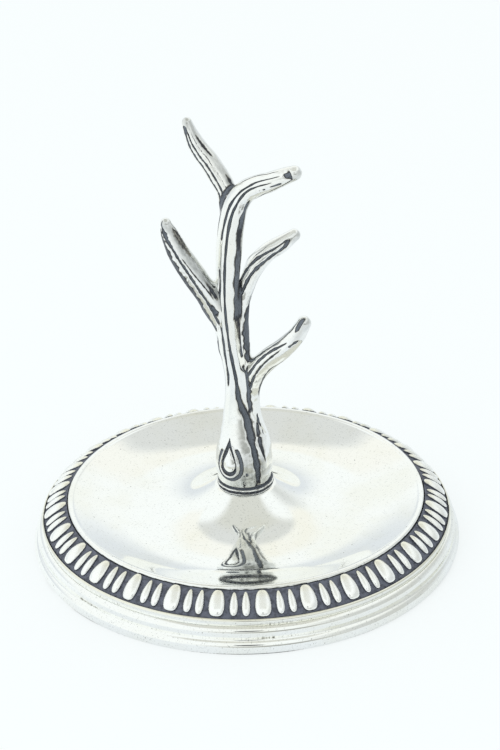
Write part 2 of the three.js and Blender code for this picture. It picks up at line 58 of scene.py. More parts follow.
MM = 0.001
TAU = 2 * math.pi

# How finely the turned pieces, the strands, the bud's outline and the lobes are divided.
RING_FACETS = 320
COLLAR_FACETS = 192
STEM_SECTIONS = 330
STEM_FACETS = 224
BRANCH_SECTIONS = 150
BRANCH_FACETS = 112
TIP_SECTIONS = 12
BUD_POINTS = 14
LOBE_SEGMENTS = 18
LOBE_RINGS = 15
# The bulb is the lowest fifth of the stem, with nearly half of its sections for the bud's sake.
BULB_SHARE = 0.2
BULB_SECTIONS_SHARE = 0.45
# The samples of a strand that points are measured from, and how many points at a time.
GAP_SAMPLES = 180
GAP_CHUNK = 8000
# The step along a strand, as a share of its path, that gives its direction.
NUDGE_SHARE = 1e-4

# How deep in the metal the oxide of a joint ends, and how far up the stem it fades in.
JOINT_DEPTHS = (-1.6 * MM, -0.8 * MM)
JOINT_FADE = 4 * MM
# The faint ripples of hand-finished castings: size and depth in millimetres, and seed.
CAST_RIPPLES = ((3.2, 0.022, 5), (1.3, 0.008, 6))
# How far the filed collar wavers, and how much was filed off it.
COLLAR_WAVER = 0.05 * MM
COLLAR_FILED = 0.04 * MM

# How far in the edges of the bud and of its dark well fade, and how far inside the seed the
# dark has ended and is still full.
BUD_EDGE = 0.3 * MM
WELL_EDGE = 0.15 * MM
SEED_EDGE = (0.25 * MM, 0.05 * MM)
# The dark moat round the bud: its depth, its inner edge, the places to the right between which
# it changes, and its reach in millimetres, with what the reach gains on the right.
MOAT_DEPTH = 0.16 * MM
MOAT_INNER_EDGE = (0.12 * MM, -0.05 * MM)
MOAT_SIDES = (-0.3 * MM, 1.2 * MM)
MOAT_REACH = 0.8
MOAT_REACH_RIGHT = 0.02
# The oxide in the seam over the collar fades out between these heights.
SEAM_HEIGHTS = (0.6 * MM, 0.2 * MM)

# Sizes of the grain in the finishes, and depths of their bumps.
PATCH_SIZE = 14 * MM
GRAIN_STRETCH = (1, 1, 0.4)
SPUN_GRAIN = 0.5 * MM
CAST_GRAIN = 0.45 * MM
SPUN_SPACING = 0.25 * MM
SPECK_SIZE = 0.4 * MM
STREAK_SIZE = 0.7 * MM
SMUDGE_SIZE = 6 * MM
HANDLED_SIZE = 3 * MM
MOTTLE_SIZE = 1.1 * MM
PIT_SPACING = 2.2 * MM
PIT_DEPTH = 0.06 * MM
SCRATCH_SIZE = 0.12 * MM
SCRATCH_DEPTH = 0.02 * MM
CAST_DEPTH = 0.05 * MM
STEEL_RING_SPACING = 0.4 * MM

# A lobe's outline: the exponent of its roundness, which is blunter the lower it is, and how
# much broader the lobe gets towards its outer end.
WIDE_OUTLINE = (0.6, 0.16)
NARROW_OUTLINE = (0.85, 0.3)
# How flat a lobe's top is, how much of its height is sunk in the ground, and the least square
# of its roundness, at its two ends.
LOBE_FLATNESS = 0.35
LOBE_SUNK_SHARE = 0.35
LEAST_SQUARE = 0.004
# How much the lobes differ in length, width and relief, and how far they are turned, in radians.
LOBE_LEAST_SHARES = (0.96, 0.94, 0.9)
LOBE_MOST_SHARES = (1.02, 1.05, 1.05)
LOBE_SWING = 0.012
LOBE_SIZES = ("length", "width", "relief", "inset")
LOBE_INPUTS = (
    "Turn", "Radius", "Height", "Slant", "Band width", "Crown", "Lift", "Lobe gap",
    *[f"{kind} {size}" for kind in ("Wide", "Narrow") for size in LOBE_SIZES],
)

# The table top is 8 m wide. Polished metal sees painted shade on it, which changes with the
# distance from the object: greyer close by, whiter all round further out, greyer on the right
# and dimmer towards the camera. Its left is white from close by, which ends between two
# distances in front of the object.
TABLE_HALF = 4000 * MM
TABLE_WHITER = (70 * MM, 200 * MM)
TABLE_GREYER = (90 * MM, 240 * MM)
TABLE_DIMMER = (60 * MM, 110 * MM)
TABLE_FRONT = (-50 * MM, -10 * MM)
# How much of the table's look is its own glow: plain white for the camera, and white with
# painted shade for polished metal.
CAMERA_WHITE_SHARE = 0.76
MIRROR_WHITE_SHARE = 0.75
# The camera's reflection: the height of its direction, and its size across and up.
SPOT_UP = 0.454
SPOT_ACROSS_SIZE = 0.12
SPOT_UP_SIZE = 0.09
# Directions are taken as no lower than this where they are divided by their height.
LEAST_UP = 0.05
# The lamp hangs high on the left in front.
LAMP_PLACE = (-500 * MM, -400 * MM, 800 * MM)
LAMP_SIZE = 600 * MM
LAMP_WATTS = 1.6

# The camera that was fitted to the photograph's ellipses, for an image of 500 by 750 pixels.
# Its sensor is in millimetres, and nearest is the nearest that it sees.
CAMERA = {
    "focal_pixels": 2196.9,
    "image_height": 750,
    "distance": 450 * MM,
    "elevation": math.radians(27.453),
    "roll": math.radians(-1.33),
    "target": (1.48 * MM, 0, 38.231 * MM),
    "sensor": 36,
    "nearest": 10 * MM,
}


def linear(hex_colour):
    """An sRGB hex colour as linear RGBA."""
    channels = [int(hex_colour[i:i + 2], 16) / 255 for i in (1, 3, 5)]
    return (
        *(c / 12.92 if c <= 0.04045 else ((c + 0.055) / 1.055) ** 2.4 for c in channels), 1,
    )


# What polished metal sees of the room, and of the table's painted shade, where they aren't white.
RIGHT_WALL = linear("#CFD3D2")
HALO = linear("#FAFBF5")
HORIZON = linear("#E2E8EC")
DIM_SIDE = linear("#A9ACA8")
CEILING = linear("#D8DAD3")
CEILING_BACK = linear("#DDE0DE")
CAMERA_SPOT = linear("#4A4B50")
TABLE_SHADE_NEAR = linear("#E9EEF0")
TABLE_SHADE_RIGHT = linear("#D8DBDA")
TABLE_DIM = linear("#EEF0EE")


def length(name, description, millimetres):
    return FloatProperty(
        name=name, description=description, default=millimetres * MM, min=0,
        subtype="DISTANCE", unit="LENGTH", precision=5,
    )


def turn(name, description, degrees):
    return FloatProperty(
        name=name, description=description, default=math.radians(degrees),
        subtype="ANGLE", unit="ROTATION",
    )


def colour(name, description, hex_colour):
    return FloatVectorProperty(
        name=name, description=description, default=linear(hex_colour), size=4, min=0, max=1,
        subtype="COLOR",
    )


class RingTreeBase(bpy.types.PropertyGroup):
    """Sizes of the rim, the border, the dish and the collar."""
    rim_radius: length("Rim radius", "Radius of the foot's torus", 45)
    land_inset: length("Land inset", "How far the land stands in from the torus", 0.5)
    land_width: length("Land width", "Width of the flat ring that the foot stands on", 1.1)
    torus_height: length("Torus height", "Height of the lowest moulding", 3.1)
    groove_height: length("Groove height", "Height of the groove above the torus", 0.8)
    ovolo_height: length("Ovolo height", "Height of the second moulding", 1.7)
    quirk_height: length("Quirk height", "Height of the small groove under the bead", 0.6)
    bead_height: length("Bead height", "Height of the bead round the border", 0.8)
    shoulder_step: length("Shoulder step", "How far the torus is drawn in at its top", 0.9)
    groove_step: length("Groove step", "How far the groove stands in from the torus", 1.35)
    ovolo_step: length("Ovolo step", "How far the ovolo stands in from the torus", 0.95)
    quirk_step: length("Quirk step", "How far the quirk stands in from the torus", 2.2)
    bead_step: length("Bead step", "How far the bead stands in from the torus", 1.9)
    bead_width: length("Bead width", "Width of the bead's top", 0.4)
    rim_wall: length("Rim wall", "Thickness of the rim", 1.1)
    border_width: length("Border width", "Width of the lobed band, seen from above", 4.85)
    border_rise: length("Border rise", "How much higher the band's inner edge lies", 3.55)
    border_edge: length("Border edge", "Thickness of the band at its outer edge", 0.55)
    border_inner_edge: length("Border inner edge", "Thickness at its inner edge", 1.3)
    border_crown: length("Border crown", "How far the ground bulges between its edges", 0.3)
    border_lift: length("Lobe lift", "How far the lobes' middles stand off the ground", 0.12)
    outer_seat: length("Outer seat", "Width of the band's flat seat outside", 0.75)
    inner_seat: length("Inner seat", "Width of the band's flat seat inside", 0.65)
    clearance: length("Clearance", "Gap between the band and its neighbours", 0.2)
    repeats: IntProperty(
        name="Repeats", description="Repeats of the border's pattern", default=28, min=3,
    )
    border_turn: turn("Border turn", "Turn of the first wide lobe from the front", -8.6)
    wide_length: length("Wide lobe length", "Length of a wide lobe", 5.7)
    wide_width: length("Wide lobe width", "Width of a wide lobe", 3.1)
    wide_relief: length("Wide lobe relief", "Relief of a wide lobe", 0.8)
    wide_inset: length("Wide lobe inset", "How far a wide lobe stands in from mid band", 0.15)
    narrow_length: length("Narrow lobe length", "Length of a narrow lobe", 5.2)
    narrow_width: length("Narrow lobe width", "Width of a narrow lobe", 1.6)
    narrow_relief: length("Narrow lobe relief", "Relief of a narrow lobe", 0.65)
    narrow_inset: length("Narrow lobe inset", "How far a narrow lobe stands in", 0.08)
    lobe_gap: length("Lobe gap", "Gap between the two narrow lobes of a repeat", 0.75)
    sheet: length("Sheet", "Thickness of the dish", 1)
    flange: length("Flange", "Width of the dish's flange on the rim", 1)
    lip_crown: length("Lip crown", "How far the lip stands over the border", 0.6)
    lip_inset: length("Lip inset", "Width of the lip's round", 0.9)
    wall_height: length("Wall height", "Depth of the dish below its wall", 3.6)
    trough_radius: length("Trough radius", "Radius of the dish's lowest ring", 23)
    boss_radius: length("Boss radius", "Radius of the flat boss", 6.2)
    boss_rise: length("Boss rise", "Height of the boss over the trough", 6.05)
    collar_radius: length("Collar radius", "Radius of the stem's collar", 6.05)
    collar_height: length("Collar height", "Height of the stem's collar", 1.25)
    collar_groove: length("Collar groove", "Depth of the groove round the collar", 0.25)
    stud_hole: length("Stud hole", "Radius of the hole for the stud", 1.7)


class RingTreeStem(bpy.types.PropertyGroup):
    """Sizes of the cast stem and its bud."""
    rise: length("Rise", "Height of the stem, from its foot to the end of its path", 69.1)
    reach: length("Reach", "How far the top branch reaches to the right", 11)
    lean: length("Lean", "How far the top branch leans to the front", 2.3)
    bulb_radius: length("Bulb radius", "Radius of the swollen foot", 5.95)
    waist_radius: length("Waist radius", "Radius of the stem above its foot", 2.15)
    tip_radius: length("Tip radius", "Radius at the end of the top branch", 1.5)
    groove_width: length("Groove width", "Width of the broad groove", 1.45)
    groove_depth: length("Groove depth", "Depth of the broad groove", 0.8)
    stud_engagement: length("Socket depth", "Depth of the socket for the stud", 5.2)
    fillet: length("Fillet", "Reach of the soldered fillets between the strands", 1.5)
    bud_turn: turn("Bud turn", "Turn of the bud from the front towards the right", -33)
    bud_height: length("Bud height", "Height of the bud's middle over the stem's foot", 7.5)
    bud_length: length("Bud length", "Length of the bud's rim", 10)
    bud_width: length("Bud width", "Width of the bud's rim", 4.9)
    bud_relief: length("Bud relief", "How far the rim stands proud", 0.32)
    sunk_length: length("Sunk length", "Length of the sunk drop", 8.9)
    sunk_width: length("Sunk width", "Width of the sunk drop", 3.75)
    sunk_depth: length("Sunk depth", "Depth of the sunk drop", 0.45)
    seed_length: length("Seed length", "Length of the seed", 6.4)
    seed_width: length("Seed width", "Width of the seed", 3.3)
    seed_relief: length("Seed relief", "Height of the seed over the sunk drop", 0.85)
    seed_drop: length("Seed drop", "How far the seed lies below the middle of the bud", 0.6)


class RingTreeFinish(bpy.types.PropertyGroup):
    """Colours of the finishes and of the stage."""
    silver: colour("Silver", "Freshly polished sterling silver", "#FDFEFC")
    toned: colour("Toned silver", "Silver with the first warm toning", "#F3F1E2")
    # Film is the grey of the painted shade and dark reflection along the strands' sides, and of the
    # silver's specks.
    film: colour("Film", "Silver under a thin even film of tarnish", "#A2A5A3")
    oxide: colour("Oxide", "Thick silver sulphide in the middle of a hollow", "#6A7078")
    dark_oxide: colour("Dark oxide", "Silver sulphide along the edges of a hollow", "#34363C")
    brown_oxide: colour("Brown oxide", "Thin oxide at the edge of the dark places", "#8E8C84")
    ground: colour("Ground", "Blackened ground of the border", "#676B78")
    steel: colour("Steel", "Plain turned steel", "#B4B6B9")
    floor: colour("Floor", "Table top", "#EEF4FA")
    backdrop: colour("Backdrop", "White of the room behind the object", "#FBFFFE")


def settings():
    """The three groups of settings of the scene."""
    scene = bpy.context.scene
    return scene.ring_tree_base, scene.ring_tree_stem, scene.ring_tree_finish


# The stem, one row for each place on it: reach, lean and rise as shares of the stem's own,
# then how much of the bulb, and how much of the taper to the tip, the radius has. Three rows
# at the waist are nearer the photograph than the CAD model's.
stem_shares = [
    (-0.014, 0, 0, 0.87, 0), (-0.014, 0, 0.045, 1, 0), (-0.018, 0, 0.083, 0.975, 0),
    (-0.036, 0, 0.126, 0.8, 0), (-0.07, 0, 0.177, 0.49, 0), (-0.105, 0, 0.227, 0.23, 0),
    (-0.125, 0, 0.285, 0.055, 0), (-0.143, 0, 0.35, 0, 0), (-0.203, 0, 0.415, 0, 0),
    (-0.235, 0, 0.473, 0, 0), (-0.254, 0, 0.531, 0, 0), (-0.256, 0, 0.596, 0.02, 0),
    (-0.23, 0, 0.661, 0.06, 0), (-0.195, 0, 0.748, 0.12, 0), (-0.134, 0, 0.835, 0.12, 0),
    (-0.036, 0, 0.896, 0.09, 0), (0.127, 0.22, 0.935, 0.04, 0), (0.336, 0.43, 0.955, 0, 0),
    (0.555, 0.65, 0.969, 0, 0.25), (0.845, 0.87, 0.99, 0, 0.65), (1, 1, 1, 0, 1),
]
# A groove's rows: share of the strand's path, place in degrees from the front towards the
# right, width and depth as shares of the strand's groove, and how much oxide it holds.
stem_groove_shares = [
    # the left flute, with flaws in the casting between its three runs
    [(0.32, -50, 0.3, 0, 0), (0.34, -46, 0.55, 0.5, 1), (0.36, -40, 0.55, 0.5, 1),
     (0.4, -33, 0.45, 0.5, 1), (0.44, -31, 0.38, 0.5, 1), (0.48, -34, 0.38, 0.5, 1),
     (0.51, -33, 0.36, 0.4, 1), (0.515, -31, 0.2, 0, 0), (0.525, -32, 0.2, 0, 0),
     (0.53, -32, 0.38, 0.4, 1), (0.56, -37, 0.38, 0.5, 1), (0.62, -45, 0.4, 0.5, 1),
     (0.627, -45, 0.2, 0, 0), (0.672, -42, 0.2, 0, 0), (0.68, -42, 0.6, 0.5, 1),
     (0.72, -36, 0.5, 0.5, 1), (0.79, -33, 0.4, 0.5, 1), (0.82, -34, 0.36, 0.5, 1),
     (0.86, -42, 0.3, 0.4, 1), (0.9, -42, 0.24, 0.3, 0.9), (0.935, -33, 0.2, 0.1, 0.5),
     (0.95, -30, 0.2, 0, 0)],
    # the middle flute, which widens into the broad groove of the bulb
    [(0, 32, 0.9, 0.2, 0), (0.016, 32, 1.1, 0.7, 0.8), (0.03, 31, 1.25, 1, 1),
     (0.1, 28, 1.3, 1, 1), (0.165, 28, 1.5, 1, 1), (0.2, 32, 1.7, 1, 1), (0.225, 36, 1.9, 1, 1),
     (0.245, 36, 2.2, 1, 1), (0.262, 28, 1.7, 0.9, 1), (0.28, 20, 1.35, 0.8, 1),
     (0.3, 12, 1, 0.7, 1), (0.325, 7, 0.8, 0.6, 1), (0.36, 3, 0.72, 0.6, 1),
     (0.4, 3, 0.55, 0.55, 1), (0.44, -2, 0.48, 0.5, 1), (0.48, -4, 0.44, 0.5, 1),
     (0.52, -8, 0.42, 0.5, 1), (0.55, -11, 0.42, 0.5, 1), (0.59, -17, 0.42, 0.5, 1),
     (0.62, -18, 0.44, 0.5, 1), (0.66, -16, 0.55, 0.5, 1), (0.72, -12, 0.55, 0.5, 1),
     (0.76, -7, 0.5, 0.5, 1), (0.8, -11, 0.45, 0.5, 1), (0.835, -18, 0.36, 0.4, 1),
     (0.88, -17, 0.28, 0.3, 0.9), (0.905, -14, 0.2, 0.2, 0.6), (0.92, -12, 0.2, 0, 0)],
    # the broken groove on the bulb's right lobe
    [(0.085, 51, 0.3, 0, 0), (0.1, 50, 0.5, 0.2, 0.62), (0.12, 49, 0.7, 0.4, 0.78),
     (0.152, 49, 1.1, 0.4, 0.85), (0.17, 53, 1.15, 0.4, 0.85), (0.175, 54, 0.6, 0.3, 0.5),
     (0.18, 55, 1.2, 0.4, 0.85), (0.195, 60, 1.1, 0.4, 0.85), (0.21, 66, 0.7, 0.3, 0.8),
     (0.225, 69, 0.4, 0, 0)],
    [(0.17, 72, 0.2, 0, 0), (0.18, 72, 0.3, 0.1, 0.8), (0.21, 80, 0.3, 0.1, 0.8),
     (0.22, 82, 0.2, 0, 0)],
    # the dark between the stem and the middle right root: painted shade of the gap between them,
    # over a shallow hollow with oxide
    [(0.39, 68, 0.4, 0, 0), (0.4, 68, 0.6, 0.1, 0.9), (0.43, 74, 0.5, 0.1, 0.9),
     (0.455, 70, 1.4, 0, 0.52), (0.5, 70, 1.9, 0, 0.55), (0.52, 66, 1.7, 0.1, 1),
     (0.555, 62, 1.9, 0.2, 1), (0.59, 62, 2.1, 0.25, 1), (0.62, 56, 2, 0.25, 1),
     (0.65, 51, 2.1, 0.2, 0.9), (0.67, 44, 1.7, 0.1, 0.68), (0.69, 42, 1.5, 0.1, 0.64),
     (0.705, 43, 1.35, 0.1, 0.9), (0.721, 44, 1.2, 0.1, 1), (0.745, 47, 0.95, 0.1, 1),
     (0.784, 40, 0.7, 0.1, 1), (0.8, 36, 0.5, 0, 0.6), (0.815, 33, 0.3, 0, 0)],
    [(0.72, 20, 0.6, 0, 0), (0.74, 20, 1, 0, 0.34), (0.78, 18, 1, 0, 0.34), (0.8, 16, 0.6, 0, 0)],
    # fine lines down the left side and along the edges of the top branch: painted dark reflection
    # along the silhouettes, in shallow grooves with oxide
    [(0.385, -62, 0.2, 0, 0), (0.403, -68, 0.3, 0.1, 0.9), (0.423, -73, 0.45, 0.1, 1),
     (0.445, -75, 0.6, 0.1, 1), (0.465, -76, 0.6, 0.1, 1), (0.48, -76, 0.3, 0, 0)],
    [(0.67, -76, 0.2, 0, 0), (0.69, -77, 0.34, 0.1, 0.9), (0.705, -79, 0.45, 0.1, 1),
     (0.725, -82, 0.6, 0.1, 1), (0.75, -84, 0.6, 0.1, 1), (0.77, -86, 0.2, 0, 0)],
    [(0.8, -76, 0.2, 0, 0), (0.818, -80, 0.24, 0.1, 0.9), (0.851, -86, 0.24, 0.1, 0.9),
     (0.888, -84, 0.22, 0.1, 0.8), (0.923, -74, 0.2, 0.1, 0.8), (0.95, -66, 0.15, 0, 0)],
    [(0.815, 70, 0.2, 0, 0), (0.828, 65, 0.24, 0.1, 0.9), (0.863, 48, 0.22, 0.1, 0.8),
     (0.904, 38, 0.22, 0.1, 0.8), (0.934, 37, 0.2, 0.1, 0.8), (0.984, 25, 0.2, 0.1, 0.7),
     (0.995, 22, 0.15, 0, 0)],
    # the oxide on the stem's side of the lower right root
    [(0.24, 46, 0.4, 0, 0), (0.268, 57, 0.7, 0, 1), (0.301, 67, 0.9, 0, 1),
     (0.334, 71, 0.9, 0, 1), (0.352, 72, 0.7, 0, 1), (0.36, 74, 0.3, 0, 0)],
    # the mark near the end of the top branch, and the dashes before it
    [(0.948, -24, 0.3, 0, 0), (0.958, -21, 1.1, 0.3, 1), (0.988, -12, 1.5, 0.3, 1),
     (0.997, -11, 0.5, 0, 0)],
    [(0.9, 6, 0.2, 0, 0), (0.911, 10, 0.42, 0.1, 1), (0.93, 15, 0.42, 0.1, 1),
     (0.94, 18, 0.2, 0, 0)],
    [(0.876, 11, 0.2, 0, 0), (0.882, 11, 0.4, 0.1, 1), (0.89, 11, 0.2, 0, 0)],
    # two pits low on the bulb
    [(0.05, 5, 0.1, 0, 0), (0.056, 5, 0.45, 0.15, 1), (0.066, 5, 0.4, 0.15, 1),
     (0.07, 5, 0.1, 0, 0)],
    [(0.022, 2, 0.1, 0, 0), (0.025, 2, 0.35, 0.1, 0.8), (0.03, 2, 0.1, 0, 0)],
    # the two grooves behind
    [(0, 150, 0.6, 0, 0), (0.12, 150, 0.6, 0.5, 1), (0.9, 160, 0.38, 0.3, 1),
     (1, 160, 0.3, 0, 0)],
    [(0, 214, 0.6, 0, 0), (0.2, 214, 0.4, 0.4, 1), (0.9, 210, 0.38, 0.3, 1), (1, 210, 0.3, 0, 0)],
]
# A film is painted shade and dark reflection along a strand's side. Its rows: share of the
# path, place in degrees, spread in degrees, and strength.
stem_shade_shares = [
    [(0.5, 58, 12, 0.2), (0.53, 56, 16, 0.5), (0.6, 55, 24, 0.5), (0.68, 54, 22, 0.75),
     (0.74, 54, 18, 0.8), (0.79, 52, 13, 0.8), (0.815, 50, 8, 0)],
    [(0.3, -75, 10, 0), (0.36, -74, 12, 0.6), (0.43, -84, 12, 0.9), (0.47, -88, 12, 0.7),
     (0.5, -88, 8, 0)],
    [(0.79, -108, 8, 0.8), (0.85, -104, 8, 0.7), (0.9, -100, 7, 0.5), (0.95, -98, 7, 0.3),
     (1, -98, 7, 0.2)],
    [(0.8, 66, 10, 0.3), (0.88, 62, 8, 0.15), (1, 60, 8, 0.1)],
    [(0.97, 30, 60, 0), (0.99, 20, 70, 0.3), (1, 20, 70, 0.35)],
    [(0.03, 38, 6, 0), (0.048, 38, 9, 0.7), (0.075, 42, 12, 0.8), (0.105, 40, 12, 0.65),
     (0.13, 40, 8, 0)],
    [(0, 5, 60, 0.9), (0.06, 8, 40, 0.8), (0.1, 8, 32, 0.6), (0.14, 10, 24, 0.3),
     (0.17, 12, 16, 0)],
]

